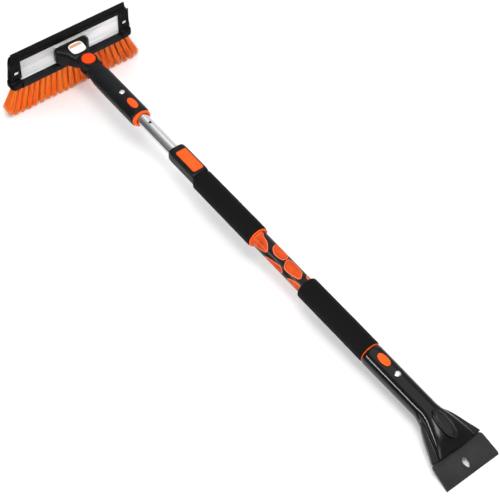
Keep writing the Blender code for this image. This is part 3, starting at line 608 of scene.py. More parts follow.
def bristles():
    rnd = random.Random(11)
    verts, faces, tint, along = [], [], [], []
    sides, rings = 4, 6
    rows, per_row = 4, 22
    for row in range(rows):
        x_root = -60.3 + row * 3.2
        for col in range(per_row):
            y_root = -103.4 + 206.8 * col / (per_row - 1)
            u = y_root / 103.4
            x_tip = -55.75 + (x_root + 55.5) * 1.62 + rnd.uniform(-0.5, 0.5)
            y_tip = y_root * 1.168 + rnd.uniform(-1.1, 1.1)
            tuft_tone = rnd.uniform(-0.13, 0.13)
            tuft_lift = max(0.0, rnd.gauss(0.5, 0.9))
            twist = rnd.uniform(-0.5, 0.5)
            count = 58
            for k in range(count):
                r, a = math.sqrt((k + 0.5) / count), k * 2.39996 + rnd.uniform(-0.3, 0.3)
                da, db = r * math.cos(a), r * math.sin(a)
                p0 = Vector((x_root + 1.35 * da, y_root + 2.9 * db, -36.6))
                loose = rnd.random() < 0.07
                w = 2.4 if loose else 0.45
                tx = x_tip + 2.5 * (da * math.cos(twist * 0.4) - 0.25 * db * math.sin(twist)) + rnd.gauss(0, w * 0.5)
                ty = y_tip + 4.55 * db + rnd.gauss(0, w * 0.55)
                ty = max(-125.4, min(125.4, ty))
                tx = max(-67.6, min(-43.9, tx))
                edge = max(0.0, (abs(ty) - 112.0) / 14.0)
                lift = (15.0 if ty < 0 else 8.5) * edge ** 1.6 + tuft_lift + abs(rnd.gauss(0, 0.6)) + 0.9 * r * r + 0.25
                if loose:
                    lift += rnd.uniform(0.0, 3.0)
                p1 = Vector((tx, ty, floor_z(tx, lift)))
                run = p1 - p0
                out = Vector((0.35 * (x_tip - x_root), 1.7 * u * abs(u), 0))
                sway = Vector((rnd.gauss(0, 0.35), rnd.gauss(0, 0.4), 0))
                hook = Vector((rnd.gauss(0, 0.5), rnd.gauss(0.55 * u, 0.6), 0)) * (1.8 if loose else 1.0)
                rad = rnd.uniform(0.34, 0.46)
                tone = min(1.0, max(0.0, 0.5 + tuft_tone + rnd.gauss(0, 0.16) + 0.14 * (r - 0.6)))
                base = len(verts)
                spin = rnd.uniform(0, math.pi)
                for i in range(rings):
                    t = i / (rings - 1)
                    c = p0 + run * t - out * math.sin(math.pi * t) * 0.5 + sway * math.sin(math.pi * t) + hook * (t ** 3 - t) * 0.8
                    rr = rad * (1.0 - 0.28 * t) * (0.55 if i == rings - 1 else 1.0)
                    for q in range(sides):
                        b = spin + 2 * math.pi * q / sides
                        verts.append(((c.x + rr * math.cos(b)) * MM, (c.y + rr * math.sin(b)) * MM, c.z * MM))
                        tint.append(tone)
                        along.append(t)
                for i in range(rings - 1):
                    for q in range(sides):
                        j = (q + 1) % sides
                        faces.append((base + i * sides + q, base + i * sides + j, base + (i + 1) * sides + j, base + (i + 1) * sides + q))
                faces.append(tuple(base + q for q in range(sides))[::-1])
                faces.append(tuple(base + (rings - 1) * sides + q for q in range(sides)))
    mesh = bpy.data.meshes.new("look_bristles")
    mesh.from_pydata(verts, [], faces)
    for key, values in (("tint", tint), ("along", along)):
        attribute = mesh.attributes.new(key, "FLOAT", "POINT")
        attribute.data.foreach_set("value", np.array(values, np.float32))
    bm = bmesh.new()
    bm.from_mesh(mesh)
    bmesh.ops.recalc_face_normals(bm, faces=bm.faces)
    bm.to_mesh(mesh)
    bm.free()
    mesh.shade_smooth()
    mesh.materials.append(BRISTLE)
    obj = bpy.data.objects.new("look_bristles", mesh)
    bpy.context.scene.collection.objects.link(obj)
    obj.matrix_world = RIG
    PIECES["look_bristles"] = (obj, "bristle_field", ["bristle_field"], 60, 0.0, 2)


bristles()

panel_outline = [(-91.3, -25.6), (91.3, -25.6), (91.3, -17.2), (103.0, -17.2), (103.0, 14.9), (-103.0, 14.9), (-103.0, -17.2), (-91.3, -17.2)]
panel = add("window_panel", prism(panel_outline, -56.0, HEAD_X, "X"), PANEL, sharp=30, bevel=0.18)
carve(panel, ("+", box((-55.0, -90.4, 12.6), (-52.6, 90.4, 14.9))), ("+", box((-55.0, -90.4, -25.6), (-53.6, 90.4, -24.4))),
      ("+", box((-55.0, -90.4, -24.0), (-53.9, -89.2, 13.0))), ("+", box((-55.0, 89.2, -24.0), (-53.9, 90.4, 13.0))),
      ("+", box((-55.0, 97.0, -6.2), (-50.9, 102.9, -1.8))), ("+", box((-55.0, -102.9, -6.2), (-50.9, -97.0, -1.8))),
      ("-", rod(1.9, -57, -50, 32, 0, "X", (0, -14, -8))), ("-", rod(1.9, -57, -50, 32, 0, "X", (0, 14, -8))))
# Two ribs on the panel above the hub, coloured with the badge's near-white as a painted reflection of bright lines on
# the panel; slits are cut into the lower one.
painted_reflection_rail = box((-54.3, -27.5, 7.1), (-51.6, 31.5, 8.5), 0.3, 2)
painted_reflection_rail_obj = add("window_panel", painted_reflection_rail, BADGE, replaces=[], sharp=40, name="look_panel_painted_reflection_rail")
carve(painted_reflection_rail_obj, *[("-", box((-52.1, y, 7.5), (-51.0, y + 2.2, 8.1))) for y in range(-24, 29, 4)])
add("window_panel", box((-54.3, -25.5, 9.4), (-51.9, 33.5, 10.1), 0.2, 2), BADGE, replaces=[], sharp=40, name="look_panel_painted_reflection_rail_upper")

hold = rounded_poly([(-60.5, 15.2), (-50.2, 15.2), (-50.2, 24.2), (-60.5, 24.2)], [1.3, 1.3, 1.4, 1.4], 4)
holder = add("squeegee_holder", prism(hold, -90.6, 90.6, "Y"), BLACK_FRAME, sharp=38)
carve(holder, ("-", prism([(-56.6, 18.6), (-52.8, 18.6), (-52.8, 30), (-56.6, 30)], -100, 100, "Y")),
      ("-", box((-50.7, -89.5, 16.9), (-49.9, 89.5, 17.5))), ("-", box((-50.7, -89.5, 21.7), (-49.9, 89.5, 22.2))))

root = [(-56.2, 24.5), (-57.4, 24.5), (-57.4, 26.0), (-56.7, 27.0), (-56.1, 28.6), (-55.9, RUBBER_TOP - 0.5), (-55.6, RUBBER_TOP - 0.1), (-55.3, RUBBER_TOP), (-54.1, RUBBER_TOP),
        (-53.8, RUBBER_TOP - 0.1), (-53.5, RUBBER_TOP - 0.5), (-53.3, 28.6), (-52.7, 27.0), (-52.0, 26.0), (-52.0, 24.5), (-53.2, 24.5)]
rubber = add("squeegee_rubber", prism(root, -RUBBER_Y, RUBBER_Y, "Y"), RUBBER, sharp=35, bevel=0.12)
carve(rubber, ("+", box((-56.2, -90.0, 19.0), (-53.2, 90.0, 25.2))))

outline = rounded_poly([(FRAME_Y, 24.0), (FRAME_Y, -17.7), (110.6, -17.7), (109.2, -6), (108.0, 4), (107.4, 14), (104.6, 24.0)], [0.8, 0.8, 1.2, 3, 3, 5, 2.4], 4)
for side, hand in ((-1, "left"), (1, "right")):
    turn = flipped if side < 0 else (lambda bm: bm)
    bracket = add("end_bracket_" + hand, turn(prism(outline, -61.0, -50.2, "X")), BLACK_FRAME, sharp=38, bevel=0.22)
    carve(bracket, ("-", turn(box((-56.4, 80, -25), (-54.0, 103.4, 15.2)))))
    ribs = []
    for k in range(5):
        y0 = FRAME_Y + 1.9 + k * 3.55
        top, low = 21.6 - 0.2 * k, -16.2
        seat = rounded_poly([(-50.6, y0 - 0.85), (-49.15, y0 - 0.45), (-49.15, y0 + 0.95), (-50.6, y0 + 1.35)], [0, 0.4, 0.4, 0], 3)
        carve(bracket, ("+", turn(prism(seat, low, top, "Z"))))
    carve(bracket, ("-", turn(prism(oval(100.0, -4.0, 4.2, 3.1, 48, 4.0), -54.2, -40, "X"))))
    rim_o, rim_i = oval(100.0, -4.0, 5.3, 4.2, 48, 4.0), oval(100.0, -4.0, 4.2, 3.1, 48, 4.0)
    rim = loft([[(-50.4, y, z) for y, z in rim_i], [(-48.9, y, z) for y, z in rim_i], [(-48.7, y * 0 + (a + y) / 2, (b + z) / 2) for (y, z), (a, b) in zip(rim_i, rim_o)],
                [(-48.9, y, z) for y, z in rim_o], [(-50.4, y, z) for y, z in rim_o]], caps=False)
    rim_faces = [v for v in rim.verts]
    n = len(rim_i)
    for k in range(n):
        rim.faces.new((rim_faces[k], rim_faces[(k + 1) % n], rim_faces[4 * n + (k + 1) % n], rim_faces[4 * n + k]))
    bmesh.ops.recalc_face_normals(rim, faces=rim.faces)
    add("end_bracket_" + hand, turn(rim), BLACK_FRAME, replaces=[], sharp=50, name="look_slot_rim_" + hand)
    add("window_panel", turn(box((-54.6, 96.2, -6.9), (-50.15, 103.2, -1.1), 0.3, 2)), BADGE, replaces=[], sharp=40, name="look_slot_tab_" + hand)
    cap = box((-65.2, 91.9, -36.3), (-45.2, 112.2, -18.2), 6.2, 10)
    cap = add("block_cap_" + hand, turn(cap), BLACK_FRAME, sharp=50)
    carve(cap, ("-", turn(box((-45.9, 94.5, -30.0), (-44.0, 108.5, -29.3)))), ("-", turn(box((-45.9, 94.5, -25.2), (-44.0, 108.5, -24.5)))))


def hub_section(x, w, top, bottom, e_top, n=112):
    pts = []
    for k in range(n):
        a = 2 * math.pi * k / n
        c, q = math.cos(a), math.sin(a)
        e, h = (e_top, top + 9.0) if q >= 0 else (5.0, -9.0 - bottom)
        pts.append((x, w * math.copysign(abs(c) ** (2 / e), c), -9.0 + math.copysign(h * abs(q) ** (2 / e), q)))
    return pts


hub_stations = [(-54.1, 29.2, 5.0, -24.9, 5.5), (-53.0, 30.3, 6.0, -25.15, 5.0), (-47.5, 30.6, 8.2, -25.2, 4.6), (-44.0, 28.8, 8.8, -24.8, 4.6), (-37.0, 23.6, 8.8, -23.0, 4.5),
                (-29.0, 18.4, 8.3, -21.0, 4.0), (-22.0, 15.6, 7.0, -19.4, 3.6), (-17.6, 13.8, 5.2, -18.2, 3.4), (-16.0, 12.2, 3.6, -17.0, 3.2)]
hub = add("hub_housing", loft([hub_section(*v) for v in smooth_stations(hub_stations, 0.9)]), BLACK, sharp=32, bevel=0.25)
carve(hub, ("+", box((-24, -10.2, -5.9), (0, 10.2, 2.6))), ("+", revolve(rounded([(0, -5.9), (13.3, -5.9), (13.3, 2.6), (0, 2.6)], [0, 0.6, 0.6, 0], 3), 96, "Z")),
      ("-", rod(5.2, -9, 6, 48, 0, "Z")), ("-", rod(1.7, -58, -44, 32, 0, "X", (0, -14, -8))), ("-", rod(1.7, -58, -44, 32, 0, "X", (0, 14, -8))))

# The badge: a plain plate with a raised border and a pressed field, no picture on it.
def badge():
    rings, tones = [], []
    for z, d, tone in ((9.05, 0.25, 0.3), (9.15, 0.0, 0.3), (9.55, 0.0, 0.3), (9.75, 0.12, 0.3), (9.82, 0.35, 0.3), (9.82, 1.3, 0.35), (9.74, 1.5, 0.6), (9.62, 1.65, 1.0), (9.62, 3.5, 1.0), (9.64, 6.5, 1.0), (9.66, 9.0, 1.0)):
        rings.append([(x, y, z) for x, y in oval(-32.0, 0, 11.0 - d, 12.6 - d * 1.02, 96, 3.4)])
        tones += [tone] * 96
    bm = turned(loft(rings), math.radians(4.5), (-32.0, 0, 9.0))
    obj = add("hub_badge", bm, BADGE, sharp=50)
    attribute = obj.data.attributes.new("tone", "FLOAT", "POINT")
    attribute.data.foreach_set("value", np.array(tones, np.float32))


badge()
for y, hand in ((-14, "left"), (14, "right")):
    screw = revolve(rounded([(0, -59.4), (2.8, -59.4), (3.6, -58.4), (3.6, -56.4), (1.4, -56.4), (1.4, -46.0), (0, -45.2)], [0, 0.8, 0.5, 0.1, 0, 0.3, 0], 4), 48, "X", (0, y, -8))
    screw = add("hub_screw_" + hand, screw, STEEL, sharp=40)
    carve(screw, ("-", box((-60.5, y - 2.0, -8.35), (-58.6, y + 2.0, -7.65))), ("-", box((-60.5, y - 0.35, -10.0), (-58.6, y + 0.35, -6.0))))


# ------------------------------------------------------------------ neck
def half_sections(sign, stations, e, n=56):
    secs = []
    for s, w, h in stations:
        pts = []
        for k in range(n + 1):
            a = math.pi * k / n
            c, q = math.cos(a), math.sin(a)
            pts.append((s, w * math.copysign(abs(c) ** (2 / e), c), sign * (0.15 + (h - 0.15) * abs(q) ** (2 / e))))
        secs.append(pts)
    return secs


stations = [(14.0, 14.2, 10.6), (22, 14.4, 10.8), (30, 15.4, 11.4), (40, 16.0, 12.2), (50, NECK_W, NECK_TOP), (90, NECK_W, NECK_TOP), (131, NECK_W, NECK_TOP), (134.5, 16.0, 12.2), (136.6, 15.8, 12.0), (137.9, 15.3, 11.5)]
upper = add("neck_shell_upper", loft(half_sections(1, smooth_stations(stations, 2.0), 2.3)), BLACK, sharp=34, bevel=0.3)
carve(upper, ("+", revolve(rounded([(0, 3.0), (13.8, 3.0), (BARREL_R, 3.5), (BARREL_R, LUG_TOP), (0, LUG_TOP)], [0, 0.2, 0.2, 1.3, 0], 5), 112, "Z")), ("+", box((2, -13.2, 3.2), (17, 13.2, LUG_TOP - 2.6))),
      ("-", rod(11.15, 4.4, 20, 96, 0, "Z")), ("-", rod(5.2, 0, 8, 48, 0, "Z")),
      ("-", rod(9.85, 97.0, 150, SEG, 0, "X")),
      ("-", rod(4.8, 11.3, 20, 64, 0, "Z", (SCREW_S, 0, 0))), ("-", rod(2.2, -2, 14, 32, 0, "Z", (SCREW_S, 0, 0))),
      ("-", prism(oval(NECK_BUTTON_S, 0, 12.0, 6.5, 84, 2.2), 10.3, 20, "Z")), ("-", rod(3.8, 5, 14, 32, 0, "Z", (NECK_BUTTON_S, 0, 0))))
low_stations = [(14.0, 14.2, 13.0), (22, 14.4, 13.4), (30, 15.4, 14.6), (40, 16.0, 16.0), (50, NECK_W, NECK_LOW), (90, NECK_W, NECK_LOW), (131, NECK_W, NECK_LOW), (134.5, 16.0, 16.45), (136.6, 15.8, 16.1), (137.9, 15.3, 15.6)]
lower = add("neck_shell_lower", loft(half_sections(-1, smooth_stations(low_stations, 2.0), 2.5)), BLACK, sharp=34, bevel=0.3)
carve(lower, ("+", revolve(rounded([(0, LUG_BOTTOM), (BARREL_R - 4.5, LUG_BOTTOM), (BARREL_R, LUG_BOTTOM + 4.6), (BARREL_R, -6.9), (13.8, -6.3), (0, -6.3)], [0, 3.0, 4.0, 0.2, 0.2, 0], 6), 112, "Z")),
      ("+", box((2, -13.2, -11.8), (17, 13.2, -6.4))),
      ("-", rod(5.2, -20, 0, 48, 0, "Z")), ("-", rod(9.85, 97.0, 150, SEG, 0, "X")), ("-", rod(2.2, -8.6, 2, 32, 0, "Z", (SCREW_S, 0, 0))))
add("pivot_pin", revolve(rounded([(0, -14.0), (4.8, -14.0), (4.8, 4.2), (0, 4.2)], [0, 0.7, 0.6, 0], 4), 64, "Z"), STEEL)
add("pivot_spring", coil(7.6, 0.5, 4.6, 7.8, 2.5, (0, 0, 0)), SPRING, sharp=60)
profile = rounded([(0, 8.0), (10.7, 8.0), (10.7, 12.0), (9.9, 12.35), (0, 12.9)], [0, 0.3, 0.9, 0.9, 0], 5)[:-1] + [(7.0, 12.9), (4.0, 13.05), (0, 13.1)]
add("pivot_button", revolve(profile, 112, "Z"), ORANGE_DEEP, sharp=40)


def pan_screw(node, s, z_head, z_tip):
    screw = revolve(rounded([(0, z_tip), (1.3, z_tip + 0.6), (1.8, z_tip + 2), (1.8, z_head), (4.3, z_head), (4.3, z_head + 1.5), (2.6, z_head + 2.6), (0, z_head + 2.7)],
                            [0, 0.3, 0.3, 0, 0.25, 1.0, 1.2, 0], 5), 64, "Z", (s, 0, 0))
    screw = add(node, screw, STEEL, sharp=40, bevel=0.06)
    carve(screw, ("-", box((s - 2.3, -0.45, z_head + 1.3), (s + 2.3, 0.45, z_head + 4))), ("-", box((s - 0.45, -2.3, z_head + 1.3), (s + 0.45, 2.3, z_head + 4))))


pan_screw("neck_screw", SCREW_S, 11.5, -8.0)
button = add("neck_button", crowned(NECK_BUTTON_S, 0, 11.3, 5.9, 11.6, 13.9, 0.45, 2.2, 1.1), ORANGE, sharp=45)
carve(button, ("+", rod(3.3, 3.1, 12.4, 40, 0.3, "Z", (NECK_BUTTON_S, 0, 0))))
add("neck_snap_spring", ribbon([(125.0, 2.3), (109.0, 2.3), (106.8, 1.7), (105.3, 0.3), (104.2, -2.2), (105.3, -4.7), (106.8, -6.1), (109.0, -6.7), (130.0, -6.9)], 3.2, 0.5), SPRING)

rings = []
for k in range(17):
    f = k / 16
    ds = 6.0 * f
    inset = 1.0 * max(0.0, 1 - ds / 0.9) ** 2 + 1.9 * max(0.0, (ds - 3.6) / 2.4) ** 2
    rings.append([(COLLAR_S + ds, (15.2 - inset) * math.cos(2 * math.pi * q / SEG), ((11.7 if q < SEG / 2 else 15.0) - inset) * math.sin(2 * math.pi * q / SEG)) for q in range(SEG)])
collar = add("neck_collar", loft(rings), ORANGE, sharp=40, bevel=0.15)
carve(collar, ("-", revolve([(0, 130), (9.85, 130), (9.85, COLLAR_S + 3.4), (11.4, COLLAR_S + 6.6), (0, COLLAR_S + 6.6)], SEG)))

# ------------------------------------------------------------------ tubes
inner = add("inner_tube", tube(TUBE_IN_R, TUBE_IN_BORE, 97.8, 560.0, SEG, 0.15), TUBE, sharp=35)
carve(inner, ("-", rod(3.8, 4, 14, 48, 0, "Z", (NECK_BUTTON_S, 0, 0))), *[("-", rod(2.4, 4, 14, 40, 0, "Z", (DETENT_S + DETENT_PITCH * k, 0, 0))) for k in range(5)])
add("tube_guide", revolve([(5.0, 546.0), (7.7, 546.0), (8.0, 546.5), (8.0, 560.3), (9.7, 560.3), (10.0, 560.7), (10.0, 567.5), (9.6, 568.0), (5.0, 568.0)], 64), BLACK)
outer = add("outer_tube", tube(TUBE_OUT_R, TUBE_OUT_BORE, 231.4, 700.0, SEG, 0.15), TUBE, sharp=35)
carve(outer, ("-", rod(3.1, 5, 14, 40, 0, "Z", (PLUNGER_S, 0, 0))))


# ------------------------------------------------------------------ lock
def lock_section(s, w, top, bottom, n=112):
    pts = []
    for k in range(n):
        a = 2 * math.pi * k / n
        c, q = math.cos(a), math.sin(a)
        e, h = (5.0, top) if q >= 0 else (2.2, bottom)
        pts.append((s, w * math.copysign(abs(c) ** (2 / e), c), math.copysign(h * abs(q) ** (2 / e), q)))
    return pts


def slab(d, z, turns=10):
    """The lever's outline, a rectangle with small corner radii, drawn in by d."""
    out, hx, hy, r = [], 22.6 - d, 8.95 - d, max(0.6, 2.9 - d)
    for cx, cy, start in ((hx - r, hy - r, 0), (r - hx, hy - r, 90), (r - hx, r - hy, 180), (hx - r, r - hy, 270)):
        for k in range(turns + 1):
            a = math.radians(start + 90 * k / turns)
            out.append((LEVER_S - 0.6 + cx + r * math.cos(a), cy + r * math.sin(a), z))
    return out


lock_stations = [(LOCK_S, 11.8, 12.0, 11.6), (LOCK_S + 1.4, 12.8, 13.6, 12.4), (LOCK_S + 4.5, 13.5, 15.0, 12.9), (LOCK_S + 10, 13.8, 15.9, 13.1),
                 (LOCK_S + 34, 13.8, 15.9, 13.1), (LOCK_S + 58, 13.8, 15.9, 13.1), (LOCK_END - 1.2, 13.5, 15.2, 12.8), (LOCK_END, 12.9, 14.4, 12.2)]
lock = add("lock_housing", loft([lock_section(*v) for v in smooth_stations(lock_stations, 1.5)]), BLACK, sharp=34, bevel=0.3)
carve(lock, ("-", rod(9.85, 220, 234, SEG, 0, "X")), ("-", rod(11.3, 231, 300, SEG, 0, "X")),
      ("-", prism([(x, y) for x, y, _ in slab(-0.42, 0)], 11.9, 22, "Z")), ("-", rod(3.1, 6, 16, 40, 0, "Z", (PLUNGER_S, 0, 0))),
      ("-", rod(1.4, -10.5, 10.5, 32, 0, "Y", (LEVER_S, 0, 14.7))))

rings = []
for z, d in ((12.9, 0.5), (13.3, 0.0), (15.6, 0.0)):
    rings.append(slab(d, z))
for k in range(1, 7):
    a = math.pi / 2 * k / 6
    rings.append(slab(1.1 * (1 - math.cos(a)), 15.6 + 1.1 * math.sin(a)))
for k in range(1, 5):
    rings.append(slab(1.1 + 1.2 * k, 16.7 + 0.5 * (1 - (1 - k / 4) ** 2)))
lever = add("lock_lever", loft(rings), ORANGE, sharp=40, bevel=0.12)
carve(lever, ("-", prism([(271, 11.5), (285, 11.5), (285, 13.6), (271, 12.85)], -12, 12, "Y")), ("-", rod(1.45, -12, 12, 32, 0, "Y", (LEVER_S, 0, 14.7))), ("-", rod(3.3, 10, 15.4, 40, 0, "Z", (276.5, 0, 0))))
add("lock_hinge_pin", rod(1.15, -10.2, 10.2, 32, 0.2, "Y", (LEVER_S, 0, 14.7)), DARK_STEEL)
add("lock_plunger", rod(2.6, 9.75, 12.4, 48, 0.3, "Z", (PLUNGER_S, 0, 0)), STEEL)
add("lock_spring", coil(2.4, 0.35, 12.2, 15.1, 3, (276.5, 0, 0)), SPRING, sharp=60)


# ------------------------------------------------------------------ foam grips, rings and patterned sleeve
def foam(node, a, b, seed):
    """A soft tube with a slightly uneven skin, pinched in at both cut ends."""
    n, length = 132, b - a
    along = max(40, int(length / 1.0))
    rings = [[(a + 0.15, 11.45 * math.sin(2 * math.pi * q / n), 11.45 * math.cos(2 * math.pi * q / n)) for q in range(n)]]
    for i in range(along + 1):
        s = a + length * i / along
        near = min(s - a, b - s)
        pinch = 1.9 * max(0.0, 1 - near / 2.6) ** 2.2
        ring = []
        for q in range(n):
            th = 2 * math.pi * q / n
            u, v = math.sin(th), math.cos(th)
            p = Vector((s * 0.022, u * 0.9, v * 0.9 + seed))
            lump = 0.17 * noise.noise(p * 1.3) + 0.09 * noise.noise(p * 5.0 + Vector((seed, 3, 1))) + 0.035 * noise.noise(Vector((s * 0.9, u * 14, v * 14)))
            r = FOAM_R - 0.2 - pinch + lump
            ring.append((s, r * u, r * v))
        rings.append(ring)
    rings.append([(b - 0.15, 11.45 * math.sin(2 * math.pi * q / n), 11.45 * math.cos(2 * math.pi * q / n)) for q in range(n)])
    bm = loft(rings, caps=False)
    vs = list(bm.verts)
    last = (len(rings) - 1) * n
    bm.verts.ensure_lookup_table()
    for q in range(n):
        bm.faces.new((bm.verts[q], bm.verts[(q + 1) % n], bm.verts[last + (q + 1) % n], bm.verts[last + q]))
    bmesh.ops.recalc_face_normals(bm, faces=bm.faces)
    obj = add(node, bm, FOAM, sharp=55)
    return obj


foam("foam_grip_front", FOAM1[0], FOAM1[1] + 1.1, 1.7)
foam("foam_grip_rear", FOAM2[0], FOAM2[1] + 1.1, 6.4)
add("grip_ring_front", revolve(rounded([(11.35, 421.3), (14.4, 421.3), (14.4, 422.2), (15.9, 422.3), (16.1, 423.0), (15.4, 424.0), (11.35, 424.1)], [0.1, 0.2, 0.1, 0.3, 0.4, 0.5, 0.1], 5)), ORANGE, sharp=50)
add("grip_ring_rear", revolve(rounded([(11.35, 659.3), (14.3, 659.3), (14.3, 660.0), (15.7, 660.1), (15.7, 660.6), (15.2, 660.9), (11.35, 660.9)], [0.1, 0.2, 0.1, 0.15, 0.15, 0.2, 0.1], 4)), ORANGE, sharp=50)
add("web_sleeve", tube(12.5, 11.3, *SLEEVE, SEG, 0.15), SLEEVE_BLACK)

windows = [
    [(422, -96), (422, 24), (427, 24), (433, 5), (441, 0), (447, -12), (455, -42), (453, -64), (443, -78), (431, -92)],
    [(452, 34), (456, 62), (470, 64), (480, 40), (483, 6), (481, -16), (476, -25), (466, -32), (456, -12)],
    [(451, -102), (458, -78), (470, -64), (482, -52), (488, -58), (492, -72), (490, -100), (476, -116), (460, -120)],
    [(484, 20), (488, 34), (499, 38), (512, 28), (517, 4), (520, -18), (517, -34), (506, -44), (495, -53), (489, -42), (486, -20), (484, -1)],
    [(501, -90), (505, -70), (514, -56), (527, -46), (530, -66), (529, -92), (514, -104)],
    [(517, 44), (523, 14), (530, 12), (530, 70), (520, 68)],
    [(432, 60), (448, 66), (455, 92), (450, 120), (436, 128), (429, 96)],
    [(474, 84), (486, 62), (500, 62), (508, 88), (496, 112), (476, 108)],
    [(440, 152), (462, 136), (472, 156), (470, 192), (450, 204), (436, 184)],
    [(484, 140), (506, 128), (516, 152), (510, 184), (490, 190), (480, 166)],
    [(430, -110), (440, -126), (444, -148), (432, -152), (422, -140), (422, -112)],
    [(496, -124), (512, -116), (522, -134), (516, -160), (500, -158), (492, -142)],
]


def patches():
    """The printed orange cells: thin rounded islands laid on the black sleeve, with a painted highlight along each edge
    as a paler rim.
    """
    bm = bmesh.new()
    rim_highlight_layer = bm.verts.layers.float.new("rim")
    unit = math.radians(1) * 12.5
    for outline in windows:
        pts = [Vector((s, p * unit)) for s, p in outline]
        for _ in range(3):
            pts = [q for a, b in zip(pts, pts[1:] + pts[:1]) for q in (a * 0.78 + b * 0.22, a * 0.22 + b * 0.78)]
        pts = [Vector((min(max(p.x, SLEEVE[0] + 0.25), SLEEVE[1] - 0.25), p.y)) for p in pts]
        dense = []
        for a, b in zip(pts, pts[1:] + pts[:1]):
            parts = max(1, math.ceil((b - a).length / 0.9))
            dense += [a + (b - a) * k / parts for k in range(parts)]
        pts = dense
        centre = sum(pts, Vector((0, 0))) / len(pts)
        normals = []
        n = len(pts)
        area = sum(a.x * b.y - b.x * a.y for a, b in zip(pts, pts[1:] + pts[:1]))
        for i in range(n):
            t = pts[(i + 2) % n] - pts[i - 2]
            inward = Vector((-t.y, t.x)) if area > 0 else Vector((t.y, -t.x))
            normals.append(inward.normalized() if inward.length > 1e-9 else (centre - pts[i]).normalized())
        loops = []
        # The third number is the rim weight, a painted highlight: full at each island's edge, fading to none 2 mm
        # inside.
        for d, r, rim in ((0.0, 12.45, 1.0), (0.06, 12.56, 1.0), (0.25, 12.6, 1.0), (0.95, 12.6, 0.75), (1.5, 12.6, 0.15), (2.0, 12.6, 0.0)):
            ring = []
            for p, q in zip(pts, normals):
                reach = min(d, (centre - p).length * 0.6)
                m = p + q * reach
                a = m.y / 12.5
                v = bm.verts.new((m.x, r * math.sin(a), r * math.cos(a)))
                v[rim_highlight_layer] = rim
                ring.append(v)
            loops.append(ring)
        for a, b in zip(loops, loops[1:]):
            for i in range(n):
                j = (i + 1) % n
                bm.faces.new((a[i], a[j], b[j], b[i]))
        for f in (0.86, 0.72, 0.58, 0.44, 0.3, 0.16, 0.05):
            ring = []
            for v in loops[5]:
                s, th = v.co.x, math.atan2(v.co.y, v.co.z)
                mid = centre.y / 12.5
                while th - mid > math.pi:
                    th -= 2 * math.pi
                while th - mid < -math.pi:
                    th += 2 * math.pi
                s, th = centre.x + (s - centre.x) * f, mid + (th - mid) * f
                w = bm.verts.new((s, 12.6 * math.sin(th), 12.6 * math.cos(th)))
                ring.append(w)
            loops.append(ring)
        for a, b in zip(loops[5:], loops[6:]):
            for i in range(n):
                j = (i + 1) % n
                bm.faces.new((a[i], a[j], b[j], b[i]))
        bm.faces.new(loops[-1])
        bm.faces.new(loops[0][::-1])
    bmesh.ops.recalc_face_normals(bm, faces=bm.faces)
    add("orange_sleeve", bm, SLEEVE_ORANGE, sharp=60)


patches()


# ------------------------------------------------------------------ ice scraper
def split(f, n):
    return [f * k / n for k in range(n)]


def handle_ring(s, w, top, bottom):
    pts = []
    angles = [24 * k / 8 for k in range(8)] + [24 + 132 * k / 44 for k in range(45)] + [156 + 24 * k / 8 for k in range(1, 9)] + [180 + 180 * k / 60 for k in range(1, 60)]
    for deg in angles:
        c, q = math.cos(math.radians(deg)), math.sin(math.radians(deg))
        e = 2.15 if q >= 0 else 2.5
        pts.append((s, w * math.copysign(abs(c) ** (2 / e), c), (top if q >= 0 else -bottom) * math.copysign(abs(q) ** (2 / e), q)))
    return pts


def fan_ring(s, w, wing, droop, hump_w, hump_top, bottom):
    """Two flat wings either side of a narrowing hump, over a shallow underside."""
    def wing_z(y):
        return wing + droop * (abs(y) / w) ** 1.6

    f = [1 - (k / 8) for k in range(8)]
    pts = [(w * g + hump_w * (1 - g), wing_z(w * g + hump_w * (1 - g))) for g in f]
    base = wing_z(hump_w)
    for k in range(45):
        a = math.pi * k / 44
        pts.append((hump_w * math.cos(a), base + (hump_top - base) * math.sin(a) ** (0.8 - 0.12 * min(1.0, max(0.0, (s - 779) / 40))) if 0 < k < 44 else base))
    pts += [(-y, z) for y, z in pts[7::-1]]
    for k in range(1, 60):
        a = math.pi * k / 60
        edge = wing_z(w) - 4.4
        pts.append((-w * math.cos(a), edge + (bottom - edge) * math.sin(a) ** 0.7))
    return [(s, y, z) for y, z in pts]


keys = [handle_ring(BODY_S, 15.4, 13.0, -16.4), handle_ring(BODY_S + 1.0, 15.9, 13.8, -16.9), handle_ring(690, 15.9, 13.8, -16.9), handle_ring(740, 15.7, 13.7, -16.6), handle_ring(761, 15.7, 13.7, -16.4),
        fan_ring(779, 19.2, 1.2, -1.6, 16.4, 13.9, -16.6), fan_ring(785, 22.8, 0.9, -2.0, 18.0, 13.8, -17.0), fan_ring(793, 27.0, -0.2, -2.6, 20.6, 13.0, -17.6),
        fan_ring(802, 31.0, -2.2, -2.8, 23.4, 11.4, -18.4), fan_ring(811, 34.6, -4.6, -2.6, 26.0, 8.6, -19.2), fan_ring(819, 38.0, -7.0, -1.8, 28.4, 4.6, -20.2),
        fan_ring(825, 40.6, -9.0, -1.2, 30.4, 0.2, -21.2), fan_ring(836, 44.2, -12.2, -0.8, 33.4, -7.6, -22.6)]
where = [k[0][0] for k in keys]
stops = [BODY_S, BODY_S + 0.35, BODY_S + 1.0] + list(np.arange(BODY_S + 6, 756, 6.0)) + list(np.arange(758.0, 836.1, 1.0))
grid = np.array(keys)
ys, zs = pchip(where, grid[:, :, 1], stops), pchip(where, grid[:, :, 2], stops)
rings = [[(s, ys[i, k], zs[i, k]) for k in range(grid.shape[1])] for i, s in enumerate(stops)]
front = prism([(827.3 + 3.2 * (1 - (y / 43.0) ** 2), y) for y in range(-48, 49, 3)] + [(860, 48), (860, -48)], -40, 30, "Z")
